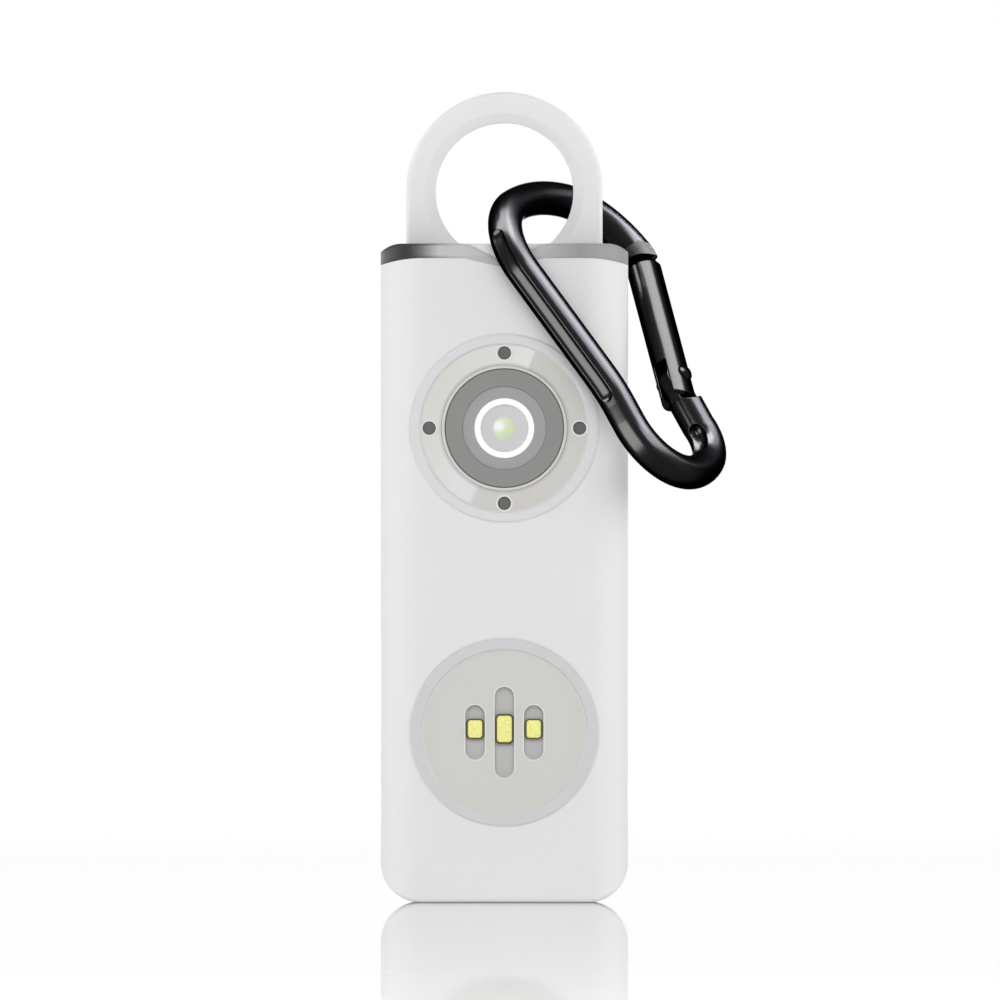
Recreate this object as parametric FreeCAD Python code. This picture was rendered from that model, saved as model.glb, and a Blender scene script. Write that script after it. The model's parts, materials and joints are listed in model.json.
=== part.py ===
import FreeCAD, Part
import math
import os

# Personal safety alarm with a pull ring and a spring-gate carabiner, in millimetres.
# The origin is the middle of the casing's underside: +Z is up, -Y is the front, +X is the viewer's right.

# Casing
casing_width = 29.0
casing_height = 75.4
casing_wall = 1.2
casing_corner_radius = 5.2
base_corner_radius = 4.7
base_edge_radius = 0.5
top_wall = 1.2
parting_y = 0.0

# Crowned seam between the casing and the cap
seam_flat_half = 9.5
seam_side_drop = 0.8
seam_vee_depth = 1.1
seam_vee_root_radius = 5.0

# Cap
cap_rise = 1.7
cap_flat_half = 12.0
cap_side_drop = 1.0
cap_vee_depth = 2.35
cap_vee_root_radius = 2.5
vee_half_width = 4.7
vee_shoulder_radius = 1.2
cap_peg_radius = 1.0
cap_peg_length = 3.0
cap_peg_x = 7.5
cap_peg_y = 3.6

# Pull ring
ring_outer_radius = 11.5
ring_centre_rise = 6.3
ring_hole_radius = 8.07
ring_hole_rise = 6.1
ring_thickness = 3.0
ring_bevel_width = 1.2
ring_bevel_depth = 0.45
ring_edge_radius = 0.5
ring_seat_depth = 1.2
ring_fit = 0.15
saddle_setback = 0.8
saddle_edge_radius = 1.3

# Activation blade between the switch leaves
blade_width = 5.0
blade_thickness = 1.2
blade_length = 14.2
blade_root_drop = 0.9
blade_fit = 0.15

# Front modules
upper_module_drop = 19.9
lower_module_z = 19.9
trim_outer_radius = 11.0
upper_trim_inner_radius = 9.8
lower_trim_inner_radius = 9.6
trim_proud = 0.15
trim_depth = 0.5
module_fit = 0.05
plate_sink = 0.1
plate_thickness = 0.8
module_bore_radius = 8.9
module_boss_radius = 11.9
module_boss_depth = 0.6

# Upper light button
bezel_hole_radius = 7.05
bezel_lip_radius = 7.45
bezel_lip_depth = 0.3
port_radius = 0.78
port_circle_radius = 8.8
port_count = 4
button_radius = 6.9
button_sink = 0.15
button_step_radius = 4.9
button_step_sink = 0.3
button_step_thickness = 0.65
halo_outer_radius = 3.5
halo_inner_radius = 2.67
halo_sink = 0.2
lens_sink = 0.35
lens_dome_radius = 1.3
lens_dome_height = 0.4
button_flange_radius = 8.0
button_flange_thickness = 0.6
button_flange_gap = 0.1
button_travel = 0.35
lens_back_reach = 0.3
button_spring_outer_radius = 4.1
button_spring_inner_radius = 3.6

# Lower strobe and sounder module
slot_width = 2.27
slot_pitch = 3.43
centre_slot_length = 10.65
side_slot_length = 6.4
strobe_board_radius = 8.85
strobe_board_thickness = 0.8
led_rise = 0.4
led_frame_width = 2.04
centre_led_height = 3.5
side_led_height = 2.35
led_frame_height = 0.55
led_rim = 0.16
led_rim_end = 0.22
led_lens_depth = 0.3
sounder_outer_radius = 10.5
sounder_inner_radius = 9.3
sounder_front_wall = 0.8
sounder_port_radius = 2.5
sounder_length = 5.7
piezo_disc_radius = 10.0
piezo_disc_thickness = 0.3
piezo_seat_depth = 0.5
ceramic_radius = 7.0
ceramic_thickness = 0.25
sounder_rib_wall = 0.8

# Main board
board_side_gap = 1.5
board_sounder_gap = 1.1
board_top_drop = 6.9
board_setback = 3.4
board_thickness = 0.8
board_post_inset_x = 1.8
board_post_inset_z = 1.9
board_post_radius = 1.4
board_screw_radius = 0.6
board_screw_head_radius = 1.2
board_screw_head_height = 0.6
board_screw_reach = 1.8
torch_led_size = 2.8
torch_led_height = 0.7
tact_size = 3.0
tact_height = 1.0
tact_centre_drop = 6.2
tact_floor = 0.2
plunger_radius = 0.8
plunger_rise = 0.3
plunger_fit = 0.1
plunger_foot_gap = 0.05
chip_length = 5.0
chip_width = 4.0
chip_height = 1.2
chip_x = -5.0
chip_rise = 6.5
transistor_length = 3.0
transistor_width = 1.6
transistor_height = 1.1
transistor_x = 2.5
transistor_rise = 8.0
resistor_length = 1.6
resistor_width = 0.8
resistor_height = 0.5
resistor_x = 6.5
resistor_first_rise = 3.5
resistor_pitch = 2.0
resistor_count = 4
transformer_radius = 3.0
transformer_height = 4.5
transformer_flange = 0.6
transformer_waist_radius = 2.3
transformer_x = 7.0
transformer_drop = 7.0
capacitor_radius = 2.0
capacitor_height = 5.4
capacitor_x = -7.0
capacitor_drop = 7.0

# Pull switch
contact_block_half_width = 3.5
contact_block_height = 3.4
contact_block_wall = 1.0
leaf_width = 3.2
leaf_thickness = 0.25
leaf_length = 11.0
leaf_top_drop = 5.4
leaf_foot_reach = 0.8
leaf_gap = 0.15

# Coin cells and battery bay
cell_radius = 10.0
cell_thickness = 3.2
cell_rim_radius = 8.6
cell_step = 0.3
cell_clearance = 1.0
cell_count = 2
cell_fit = 0.15
bay_wall = 0.85
bay_sounder_gap = 0.6
negative_plate_width = 8.0
negative_plate_height = 9.0
negative_plate_thickness = 0.25
negative_tongue_radius = 1.2
positive_width = 5.0
positive_thickness = 0.2
positive_overlap = 4.0
door_radius = 11.4
door_thickness = 0.9
door_fit = 0.1
door_tab_half_width = 2.8
door_screw_rise = 14.0
pad_radius = 7.0
pad_thickness = 0.3
door_screw_shank_radius = 0.7
door_screw_head_radius = 1.4
door_screw_head_height = 0.5
door_screw_sink = 0.2
door_boss_radius = 1.8
door_boss_length = 5.3

# Casing screws
screw_inset_x = 5.5
screw_low_z = 5.6
screw_top_drop = 4.8
screw_boss_radius = 2.0
screw_shank_radius = 0.75
screw_head_radius = 1.5
screw_head_height = 0.7
screw_head_sink = 0.3
screw_tip_setback = 3.0
screw_fit = 0.1
cross_width = 0.32
cross_depth = 0.35

# Carabiner, drawn in its own plane: s runs down the spine, t towards the gate, n towards the viewer
rod_radius = 2.0
spine_start_x = 3.17
spine_start_drop = 4.5
spine_lean_deg = 36.3
plane_turn_deg = 60.0
spine_gap = 0.5
hook_start_rise = 1.65
hook_front_radius = 6.8
hook_front_turn_deg = 91.0
hook_top_radius = 22.5
hook_top_turn_deg = 27.0
hook_nose_radius = 13.2
hook_nose_turn_deg = 54.0
hook_tip_radius = 4.2
hook_tip_turn_deg = 26.0
kink_start_s = 13.6
kink_radius = 15.8
kink_turn_deg = 15.4
kink_run = 2.3
small_end_low_radius = 7.4
small_end_low_turn_deg = 96.0
small_end_side_radius = 9.5
small_end_side_turn_deg = 22.0
small_end_high_radius = 4.2
small_end_high_turn_deg = 77.0
pivot_s = 19.2
pivot_t = 13.2
heel_radius = 3.0
heel_gap = 0.3
tongue_thickness = 1.5
tongue_half_width = 1.75
gate_radius = 2.05
gate_nose_gap = 0.3
gate_tip_radius = 1.65
gate_taper_length = 0.7
gate_slot_clearance = 0.2
tongue_eye_gap = 0.3
rivet_radius = 0.6
rivet_head_radius = 0.95
rivet_head_base = 1.6
rivet_head_side = 0.5
rivet_dome_height = 0.4
rivet_back_head_height = 0.35
pivot_fit = 0.05
plunger_pin_radius = 0.7
plunger_gap = 0.1
plunger_pin_length = 2.4
gate_spring_length = 4.0
gate_spring_wall = 0.3
gate_bore_fit = 0.05
flute_radius = 1.25
flute_depth = 0.5
flute_lean_deg = 6.0
flute_hook_turn_deg = 34.0
flute_kink_turn_deg = 8.5
pocket_radius = 1.2
pocket_depth = 0.7
pocket_turn_deg = 60.0
pocket_lean_deg = 12.0

# Values worked out from the sizes above
overshoot = 2.0
near_zero = 0.01
cap_height = casing_height + cap_rise
casing_depth = (
    board_setback + board_thickness + cell_clearance + cell_count * cell_thickness
    + positive_thickness + pad_thickness + door_thickness
)
front_y = -casing_depth / 2
back_y = casing_depth / 2
inner_front_y = front_y + casing_wall
inner_back_y = back_y - casing_wall
cavity_top_z = casing_height - seam_vee_depth - top_wall
upper_module_z = casing_height - upper_module_drop
ring_centre_z = cap_height + ring_centre_rise
ring_hole_z = cap_height + ring_hole_rise
blade_root_z = cap_height - blade_root_drop
blade_tip_z = blade_root_z - blade_length
plate_front_y = front_y + plate_sink
plate_back_y = plate_front_y + plate_thickness
boss_back_y = inner_front_y + module_boss_depth
button_front_y = front_y + button_sink
button_flange_front_y = plate_back_y + button_flange_gap
button_back_y = button_flange_front_y + button_flange_thickness
sounder_back_y = boss_back_y + sounder_length
board_width = casing_width - 2 * (casing_wall + board_side_gap)
board_front_y = front_y + board_setback
board_back_y = board_front_y + board_thickness
board_low_z = lower_module_z + sounder_outer_radius + board_sounder_gap
board_high_z = casing_height - board_top_drop
board_post_x = board_width / 2 - board_post_inset_x
chip_z = board_low_z + chip_rise
transistor_z = board_low_z + transistor_rise
resistor_first_z = board_low_z + resistor_first_rise
transformer_z = board_high_z - transformer_drop
capacitor_z = board_high_z - capacitor_drop
leaf_high_z = casing_height - leaf_top_drop
leaf_low_z = leaf_high_z - leaf_length
leaf_near_y = blade_thickness / 2 + leaf_gap
contact_block_low_z = leaf_low_z - leaf_foot_reach
contact_block_high_z = contact_block_low_z + contact_block_height
contact_block_back_y = leaf_near_y + leaf_thickness + contact_block_wall
tact_z = upper_module_z - tact_centre_drop
tact_top_y = board_front_y - tact_height
strobe_board_back_y = plate_back_y + strobe_board_thickness
cell_front_y = board_back_y + cell_clearance
cell_back_y = cell_front_y + cell_count * cell_thickness
bay_inner_radius = cell_radius + cell_fit
bay_outer_radius = bay_inner_radius + bay_wall
cell_centre_z = lower_module_z + sounder_outer_radius + bay_sounder_gap + bay_outer_radius
door_step_y = back_y - door_thickness
door_screw_z = cell_centre_z + door_screw_rise
door_boss_front_y = back_y - door_boss_length
screw_x = casing_width / 2 - screw_inset_x
screw_high_z = casing_height - screw_top_drop
screw_reach_y = front_y + screw_tip_setback
screw_places = [(side * screw_x, z) for side in (-1, 1) for z in (screw_low_z, screw_high_z)]
board_post_places = [
    (side * board_post_x, z)
    for side in (-1, 1)
    for z in (board_low_z + board_post_inset_z, board_high_z - board_post_inset_z)
]
board_screw_places = [board_post_places[0], board_post_places[3]]
hook_start_s = -hook_start_rise
hook_arcs = (
    (hook_front_radius, hook_front_turn_deg),
    (hook_top_radius, hook_top_turn_deg),
    (hook_nose_radius, hook_nose_turn_deg),
    (hook_tip_radius, hook_tip_turn_deg),
)
small_end_arcs = (
    (small_end_low_radius, small_end_low_turn_deg),
    (small_end_side_radius, small_end_side_turn_deg),
    (small_end_high_radius, small_end_high_turn_deg),
)
gate_slot_depth = tongue_half_width + tongue_eye_gap
plunger_pin_start = tongue_half_width + plunger_gap
spine_start = FreeCAD.Vector(spine_start_x, front_y - rod_radius - spine_gap, cap_height - spine_start_drop)


def vector(x, y, z):
    return FreeCAD.Vector(x, y, z)


def box(x_low, x_high, y_low, y_high, z_low, z_high):
    return Part.makeBox(x_high - x_low, y_high - y_low, z_high - z_low, vector(x_low, y_low, z_low))


def disc(radius, y_low, y_high, z, x=0.0):
    """A round bar along Y."""
    return Part.makeCylinder(radius, y_high - y_low, vector(x, y_low, z), vector(0, 1, 0))


def ring(outer_radius, inner_radius, y_low, y_high, z, x=0.0):
    hole = disc(inner_radius, y_low - overshoot, y_high + overshoot, z, x)
    return disc(outer_radius, y_low, y_high, z, x).cut(hole)


def joined(shapes):
    whole = shapes[0]
    for shape in shapes[1:]:
        whole = whole.fuse(shape)
    return whole.removeSplitter()


def without(shape, cutters):
    for cutter in cutters:
        shape = shape.cut(cutter)
    return shape


def save(node, shape):
    shape.exportStep(os.path.join("parts", node + ".step"))


def edges_along(shape, direction, test):
    """The straight edges that run along a direction and whose middle passes a test."""
    found = []
    for edge in shape.Edges:
        ends = [vertex.Point for vertex in edge.Vertexes]
        if len(ends) < 2 or edge.Curve.TypeId != "Part::GeomLine":
            continue
        run = (ends[1] - ends[0]).normalize()
        if abs(abs(run.dot(direction)) - 1) < 1e-6 and test((ends[0] + ends[1]) * 0.5):
            found.append(edge)
    return found


# Casing blanks

def plan_prism(inset, low_z, high_z):
    """The casing's rounded rectangle seen from above, moved in by a wall, as an upright prism."""
    half_width = casing_width / 2 - inset
    half_depth = casing_depth / 2 - inset
    block = box(-half_width, half_width, -half_depth, half_depth, low_z, high_z)
    upright = edges_along(block, vector(0, 0, 1), lambda middle: True)
    return block.makeFillet(casing_corner_radius - inset, upright)


def base_block(inset, high_z):
    """The casing seen from the front, with its rounded lower corners, as a block along Y."""
    half_width = casing_width / 2 - inset
    half_depth = casing_depth / 2
    block = box(-half_width, half_width, -half_depth, half_depth, inset, high_z)
    lower = edges_along(block, vector(0, 1, 0), lambda middle: middle.z < high_z - overshoot)
    return block.makeFillet(base_corner_radius - inset, lower)


def crowned_block(top_z, flat_half, side_drop, vee_depth, root_radius):
    """All that lies below a crowned top line: flat, drooping to both sides, with a vee in the middle."""
    half_width = casing_width / 2
    reach = half_width + overshoot
    half_depth = casing_depth / 2 + overshoot
    block = box(-reach, reach, -half_depth, half_depth, -overshoot, top_z)
    run = half_width - flat_half
    droop_radius = (run ** 2 + side_drop ** 2) / (2 * side_drop)
    roller = Part.makeCylinder(
        droop_radius, 2 * half_depth, vector(flat_half, -half_depth, top_z - droop_radius), vector(0, 1, 0)
    )
    corner_low_z = top_z - 3 * side_drop
    corner = box(flat_half, reach, -half_depth, half_depth, corner_low_z, top_z + overshoot).cut(roller)
    other_corner = corner.mirror(vector(0, 0, 0), vector(1, 0, 0))
    slope = vee_depth / vee_half_width
    lift = overshoot
    vee_points = [
        vector(0, -half_depth, top_z - vee_depth),
        vector(vee_half_width + lift / slope, -half_depth, top_z + lift),
        vector(-vee_half_width - lift / slope, -half_depth, top_z + lift),
    ]
    vee_face = Part.Face(Part.makePolygon(vee_points + vee_points[:1]))
    vee = vee_face.extrude(vector(0, 2 * half_depth, 0))
    block = without(block, [corner, other_corner, vee])
    root = edges_along(block, vector(0, 1, 0), lambda middle: abs(middle.x) < near_zero and middle.z > 0)
    block = block.makeFillet(root_radius, root)
    shoulders = edges_along(
        block,
        vector(0, 1, 0),
        lambda middle: abs(abs(middle.x) - vee_half_width) < near_zero and middle.z > 0,
    )
    return block.makeFillet(vee_shoulder_radius, shoulders)


def below_seam():
    return crowned_block(casing_height, seam_flat_half, seam_side_drop, seam_vee_depth, seam_vee_root_radius)


def below_cap_top():
    return crowned_block(cap_height, cap_flat_half, cap_side_drop, cap_vee_depth, cap_vee_root_radius)


def casing_outer():
    blank = plan_prism(0.0, 0.0, cap_height).common(base_block(0.0, cap_height))
    underside = [
        edge
        for edge in blank.Edges
        if edge.BoundBox.ZMax < base_corner_radius + near_zero and edge.BoundBox.YLength < casing_corner_radius
        and abs(edge.CenterOfMass.y) > casing_corner_radius - base_edge_radius
    ]
    if base_edge_radius > 0 and underside:
        blank = blank.makeFillet(base_edge_radius, underside)
    return blank.common(below_seam())


def casing_cavity():
    prism = plan_prism(casing_wall, casing_wall, cavity_top_z)
    return prism.common(base_block(casing_wall, cap_height))


def module_openings():
    """The stepped round openings for the two front modules."""
    cutters = []
    for centre_z in (upper_module_z, lower_module_z):
        seat_y = front_y + trim_depth
        trim_radius = trim_outer_radius + module_fit
        plate_radii = {upper_module_z: upper_trim_inner_radius, lower_module_z: lower_trim_inner_radius}
        plate_radius = plate_radii[centre_z]
        cutters.append(disc(trim_radius, front_y - overshoot, seat_y, centre_z))
        cutters.append(disc(plate_radius, front_y - overshoot, plate_back_y, centre_z))
        cutters.append(disc(module_bore_radius, front_y - overshoot, boss_back_y + overshoot, centre_z))
    return cutters


def front_half_space():
    reach = casing_width
    return box(-reach, reach, -reach, parting_y, -overshoot, cap_height + overshoot)


def back_half_space():
    reach = casing_width
    return box(-reach, reach, parting_y, reach, -overshoot, cap_height + overshoot)


def top_wall_holes():
    """The blade's slot and the holes for the cap's pegs, through the casing's top wall."""
    half_slot = blade_width / 2 + blade_fit
    half_gap = blade_thickness / 2 + blade_fit
    holes = [box(-half_slot, half_slot, -half_gap, half_gap, cavity_top_z - overshoot, cap_height)]
    for side_x in (-1, 1):
        for side_y in (-1, 1):
            place = vector(side_x * cap_peg_x, side_y * cap_peg_y, cavity_top_z - overshoot)
            holes.append(Part.makeCylinder(cap_peg_radius + module_fit, 2 * overshoot + top_wall, place))
    return holes


def front_shell():
    cavity = casing_cavity()
    shell = casing_outer().cut(cavity).common(front_half_space())
    posts = []
    for centre_z in (upper_module_z, lower_module_z):
        posts.append(disc(module_boss_radius, inner_front_y, boss_back_y, centre_z).common(cavity))
    for x, z in board_post_places:
        posts.append(disc(board_post_radius, inner_front_y, board_front_y, z, x))
    for x, z in screw_places:
        posts.append(disc(screw_boss_radius, inner_front_y, parting_y, z, x))
    shell = joined([shell] + posts)
    cutters = module_openings() + top_wall_holes()
    for x, z in screw_places:
        cutters.append(disc(screw_shank_radius, screw_reach_y, parting_y + overshoot, z, x))
    for x, z in board_screw_places:
        cutters.append(disc(board_screw_radius, board_back_y - board_screw_reach - board_thickness, 0, z, x))
    return without(shell, cutters)


def door_outline(fit):
    """The battery door seen from behind: a round lid with a screw tab at its top."""
    radius = door_radius - fit
    tab_half = door_tab_half_width - fit
    lid = disc(radius, inner_back_y, back_y + overshoot, cell_centre_z)
    tab = box(-tab_half, tab_half, inner_back_y, back_y + overshoot, cell_centre_z, door_screw_z)
    tab_end = disc(tab_half, inner_back_y, back_y + overshoot, door_screw_z)
    return joined([lid, tab, tab_end])


def back_shell():
    cavity = casing_cavity()
    shell = casing_outer().cut(cavity).common(back_half_space())
    posts = [
        disc(bay_outer_radius, cell_front_y + cell_step, inner_back_y, cell_centre_z),
        disc(sounder_outer_radius, sounder_back_y, inner_back_y, lower_module_z),
        disc(door_boss_radius, door_boss_front_y, inner_back_y, door_screw_z),
    ]
    for x, z in screw_places:
        posts.append(disc(screw_boss_radius, parting_y, inner_back_y, z, x))
    shell = joined([shell] + posts)
    behind_step = box(-casing_width, casing_width, door_step_y, casing_depth, 0, cap_height)
    door_recess = door_outline(0.0).common(behind_step)
    notch_low_z = cell_centre_z + cell_radius - 2 * cell_step
    notch_half = positive_width / 2 + cell_fit
    cutters = [
        door_recess,
        disc(bay_inner_radius, cell_front_y - overshoot, door_step_y + overshoot, cell_centre_z),
        disc(sounder_outer_radius - sounder_rib_wall, sounder_back_y - overshoot, inner_back_y, lower_module_z),
        disc(door_screw_shank_radius, door_boss_front_y - overshoot, back_y, door_screw_z),
        box(
            -notch_half, notch_half, cell_front_y - overshoot, inner_back_y,
            notch_low_z, cell_centre_z + bay_outer_radius,
        ),
    ] + top_wall_holes()
    for x, z in screw_places:
        head_front_y = back_y - screw_head_sink - screw_head_height
        cutters.append(disc(screw_shank_radius + screw_fit, parting_y - overshoot, back_y + overshoot, z, x))
        cutters.append(disc(screw_head_radius + screw_fit, head_front_y, back_y + overshoot, z, x))
    return without(shell, cutters)


def top_cap():
    prism = plan_prism(0.0, casing_height / 2, cap_height + overshoot)
    band = prism.common(below_cap_top()).cut(below_seam())
    pegs = []
    for side_x in (-1, 1):
        for side_y in (-1, 1):
            place = vector(side_x * cap_peg_x, side_y * cap_peg_y, casing_height - cap_peg_length)
            pegs.append(Part.makeCylinder(cap_peg_radius, cap_peg_length + cap_peg_radius / 2, place))
    cap = joined([band] + pegs)
    half_x = ring_outer_radius + ring_fit
    half_y = ring_thickness / 2 + ring_fit
    seat_z = cap_height - ring_seat_depth - ring_fit
    half_slot = blade_width / 2 + blade_fit
    half_gap = blade_thickness / 2 + blade_fit
    return without(cap, [
        box(-half_x, half_x, -half_y, half_y, seat_z, cap_height + overshoot),
        box(-half_slot, half_slot, -half_gap, half_gap, cavity_top_z, cap_height + overshoot),
    ])


# Pull ring

def ring_plate():
    half = ring_thickness / 2
    foot_z = cap_height - ring_seat_depth
    above_foot = box(-casing_width, casing_width, -half, half, foot_z, 2 * cap_height)
    arch = disc(ring_outer_radius, -half, half, ring_centre_z).common(above_foot)
    legs = box(-ring_outer_radius, ring_outer_radius, -half, half, foot_z, ring_centre_z)
    plate = joined([arch, legs])
    rims = [
        edge
        for edge in plate.Edges
        if abs(abs(edge.CenterOfMass.y) - half) < near_zero and edge.BoundBox.ZMax > cap_height
    ]
    return plate.makeFillet(ring_edge_radius, rims)


def ring_hole():
    """The finger hole with a bevel to both faces, cut off flat at the cap's top."""
    half = ring_thickness / 2
    waist = half - ring_bevel_depth
    hole = disc(ring_hole_radius, -half - overshoot, half + overshoot, ring_hole_z)
    wide = ring_hole_radius + ring_bevel_width
    cones = []
    for side in (-1, 1):
        cones.append(
            Part.makeCone(
                ring_hole_radius,
                wide,
                ring_bevel_depth,
                vector(0, side * waist, ring_hole_z),
                vector(0, side, 0),
            )
        )
    whole = joined([hole] + cones)
    above_cap = box(-casing_width, casing_width, -overshoot * 2, overshoot * 2, cap_height, 2 * cap_height)
    return whole.common(above_cap)


def ring_saddle():
    """The wedge that fills the vee across the cap."""
    half_y = casing_depth / 2 - saddle_setback
    wedge = box(-vee_half_width, vee_half_width, -half_y, half_y, cap_height - 2 * cap_vee_depth, cap_height)
    lifted = below_cap_top()
    lifted.translate(vector(0, 0, ring_fit))
    wedge = wedge.cut(lifted)
    brows = edges_along(wedge, vector(1, 0, 0), lambda middle: middle.z > cap_height - near_zero)
    return wedge.makeFillet(saddle_edge_radius, brows)


def pull_ring():
    whole = joined([ring_plate().cut(ring_hole()), ring_saddle()])
    socket = box(
        -blade_width / 2, blade_width / 2, -blade_thickness / 2, blade_thickness / 2, 0, blade_root_z
    )
    return whole.cut(socket)


def activation_blade():
    half_x = blade_width / 2
    half_y = blade_thickness / 2
    blade = box(-half_x, half_x, -half_y, half_y, blade_tip_z, blade_root_z)
    tip = edges_along(blade, vector(1, 0, 0), lambda middle: middle.z < blade_tip_z + near_zero)
    return blade.makeChamfer(blade_thickness / 4, tip)


# Upper module

def trim_ring(inner_radius, centre_z):
    outer = front_y - trim_proud
    body = ring(trim_outer_radius, inner_radius + module_fit, outer, front_y + trim_depth, centre_z)
    crest = [edge for edge in body.Edges if abs(edge.CenterOfMass.y - outer) < near_zero]
    return body.makeFillet(trim_proud, crest)


def bezel_plate():
    plate = ring(
        upper_trim_inner_radius - module_fit, bezel_hole_radius, plate_front_y, plate_back_y, upper_module_z
    )
    lip = Part.makeCone(
        bezel_lip_radius,
        bezel_hole_radius,
        bezel_lip_depth,
        vector(0, plate_front_y, upper_module_z),
        vector(0, 1, 0),
    )
    ports = []
    for index in range(port_count):
        angle = 2 * math.pi * index / port_count
        x = port_circle_radius * math.sin(angle)
        z = upper_module_z + port_circle_radius * math.cos(angle)
        ports.append(disc(port_radius, plate_front_y - overshoot, plate_back_y + overshoot, z, x))
    return without(plate, [lip] + ports)


def button_cap():
    z = upper_module_z
    face = disc(button_radius, button_front_y, button_flange_front_y, z)
    flange = disc(button_flange_radius, button_flange_front_y, button_back_y, z)
    stem = disc(plunger_radius, button_back_y, tact_top_y - plunger_rise, tact_z)
    step_back_y = front_y + button_step_sink + button_step_thickness
    return without(joined([face, flange, stem]), [
        disc(button_step_radius, front_y - overshoot, step_back_y, z),
        disc(halo_outer_radius, front_y - overshoot, button_back_y + overshoot, z),
    ])


def button_step():
    start_y = front_y + button_step_sink
    return ring(button_step_radius, halo_outer_radius, start_y, start_y + button_step_thickness, upper_module_z)


def button_halo():
    return ring(halo_outer_radius, halo_inner_radius, front_y + halo_sink, button_back_y, upper_module_z)


def torch_lens():
    face_y = front_y + lens_sink
    body = disc(halo_inner_radius, face_y, button_back_y + lens_back_reach, upper_module_z)
    ball_radius = (lens_dome_radius ** 2 + lens_dome_height ** 2) / (2 * lens_dome_height)
    ball = Part.makeSphere(ball_radius, vector(0, face_y - lens_dome_height + ball_radius, upper_module_z))
    dome = ball.common(disc(lens_dome_radius, face_y - overshoot, face_y, upper_module_z))
    return joined([body, dome])


def button_spring():
    return ring(
        button_spring_outer_radius, button_spring_inner_radius, button_back_y, board_front_y, upper_module_z
    )


def tact_switch():
    half = tact_size / 2
    body = box(-half, half, tact_top_y, board_front_y, tact_z - half, tact_z + half)
    well = disc(plunger_radius + plunger_fit, tact_top_y - overshoot, board_front_y - tact_floor, tact_z)
    return body.cut(well)


def switch_plunger():
    foot_y = board_front_y - tact_floor - plunger_foot_gap - button_travel
    return disc(plunger_radius, tact_top_y - plunger_rise, foot_y, tact_z)


def torch_led():
    half = torch_led_size / 2
    return box(
        -half, half,
        board_front_y - torch_led_height, board_front_y,
        upper_module_z - half, upper_module_z + half,
    )


# Lower module

def slot_places():
    """The middle of each slot across the grille, with its length."""
    return [(-slot_pitch, side_slot_length), (0.0, centre_slot_length), (slot_pitch, side_slot_length)]


def rounded_slot(x, z, length, y_low, y_high):
    half = slot_width / 2
    reach = length / 2 - half
    return joined([
        box(x - half, x + half, y_low, y_high, z - reach, z + reach),
        disc(half, y_low, y_high, z - reach, x),
        disc(half, y_low, y_high, z + reach, x),
    ])


def grille_plate():
    plate = disc(lower_trim_inner_radius - module_fit, plate_front_y, plate_back_y, lower_module_z)
    slots = [
        rounded_slot(x, lower_module_z, length, plate_front_y - overshoot, plate_back_y + overshoot)
        for x, length in slot_places()
    ]
    return without(plate, slots)


def strobe_board():
    return disc(strobe_board_radius, plate_back_y, strobe_board_back_y, lower_module_z)


def led_window(x, height, y_low, y_high):
    half_x = led_frame_width / 2 - led_rim
    half_z = height / 2 - led_rim_end
    z = lower_module_z + led_rise
    return box(x - half_x, x + half_x, y_low, y_high, z - half_z, z + half_z)


def strobe_led_frame(x, height):
    half_x = led_frame_width / 2
    z = lower_module_z + led_rise
    top_y = plate_back_y - led_frame_height
    block = box(x - half_x, x + half_x, top_y, plate_back_y, z - height / 2, z + height / 2)
    return block.cut(led_window(x, height, top_y - overshoot, top_y + led_lens_depth))


def strobe_led_lens(x, height):
    top_y = plate_back_y - led_frame_height
    return led_window(x, height, top_y, top_y + led_lens_depth)


def sounder_housing():
    z = lower_module_z
    cup = disc(sounder_outer_radius, boss_back_y, sounder_back_y, z)
    return without(cup, [
        disc(sounder_inner_radius, boss_back_y + sounder_front_wall, sounder_back_y + overshoot, z),
        disc(sounder_port_radius, boss_back_y - overshoot, sounder_back_y, z),
        disc(piezo_disc_radius + module_fit, sounder_back_y - piezo_seat_depth, sounder_back_y + overshoot, z),
    ])


def piezo_disc():
    seat_y = sounder_back_y - piezo_seat_depth
    return disc(piezo_disc_radius, seat_y, seat_y + piezo_disc_thickness, lower_module_z)


def piezo_ceramic():
    seat_y = sounder_back_y - piezo_seat_depth + piezo_disc_thickness
    return disc(ceramic_radius, seat_y, seat_y + ceramic_thickness, lower_module_z)


# Electronics

def main_board():
    half = board_width / 2
    board = box(-half, half, board_front_y, board_back_y, board_low_z, board_high_z)
    holes = [disc(board_screw_radius, -casing_depth, 0, z, x) for x, z in board_screw_places]
    return without(board, holes)


def crossed_head(x, z, head_low_y, head_high_y, head_radius):
    """A screw's round head, facing the back, with a cross cut into it."""
    head = disc(head_radius, head_low_y, head_high_y, z, x)
    arm = head_radius * 0.7
    half = cross_width / 2
    floor_y = head_high_y - cross_depth
    return without(head, [
        box(x - arm, x + arm, floor_y, head_high_y + overshoot, z - half, z + half),
        box(x - half, x + half, floor_y, head_high_y + overshoot, z - arm, z + arm),
    ])


def board_screws():
    screws = []
    for x, z in board_screw_places:
        head = crossed_head(x, z, board_back_y, board_back_y + board_screw_head_height, board_screw_head_radius)
        shank = disc(board_screw_radius, board_back_y - board_screw_reach, board_back_y, z, x)
        screws.append(joined([head, shank]))
    return Part.makeCompound(screws)


def controller_chip():
    return box(
        chip_x - chip_length / 2, chip_x + chip_length / 2, board_front_y - chip_height, board_front_y,
        chip_z - chip_width / 2, chip_z + chip_width / 2,
    )


def driver_transistor():
    return box(
        transistor_x - transistor_length / 2, transistor_x + transistor_length / 2,
        board_front_y - transistor_height, board_front_y,
        transistor_z - transistor_width / 2, transistor_z + transistor_width / 2,
    )


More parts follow.
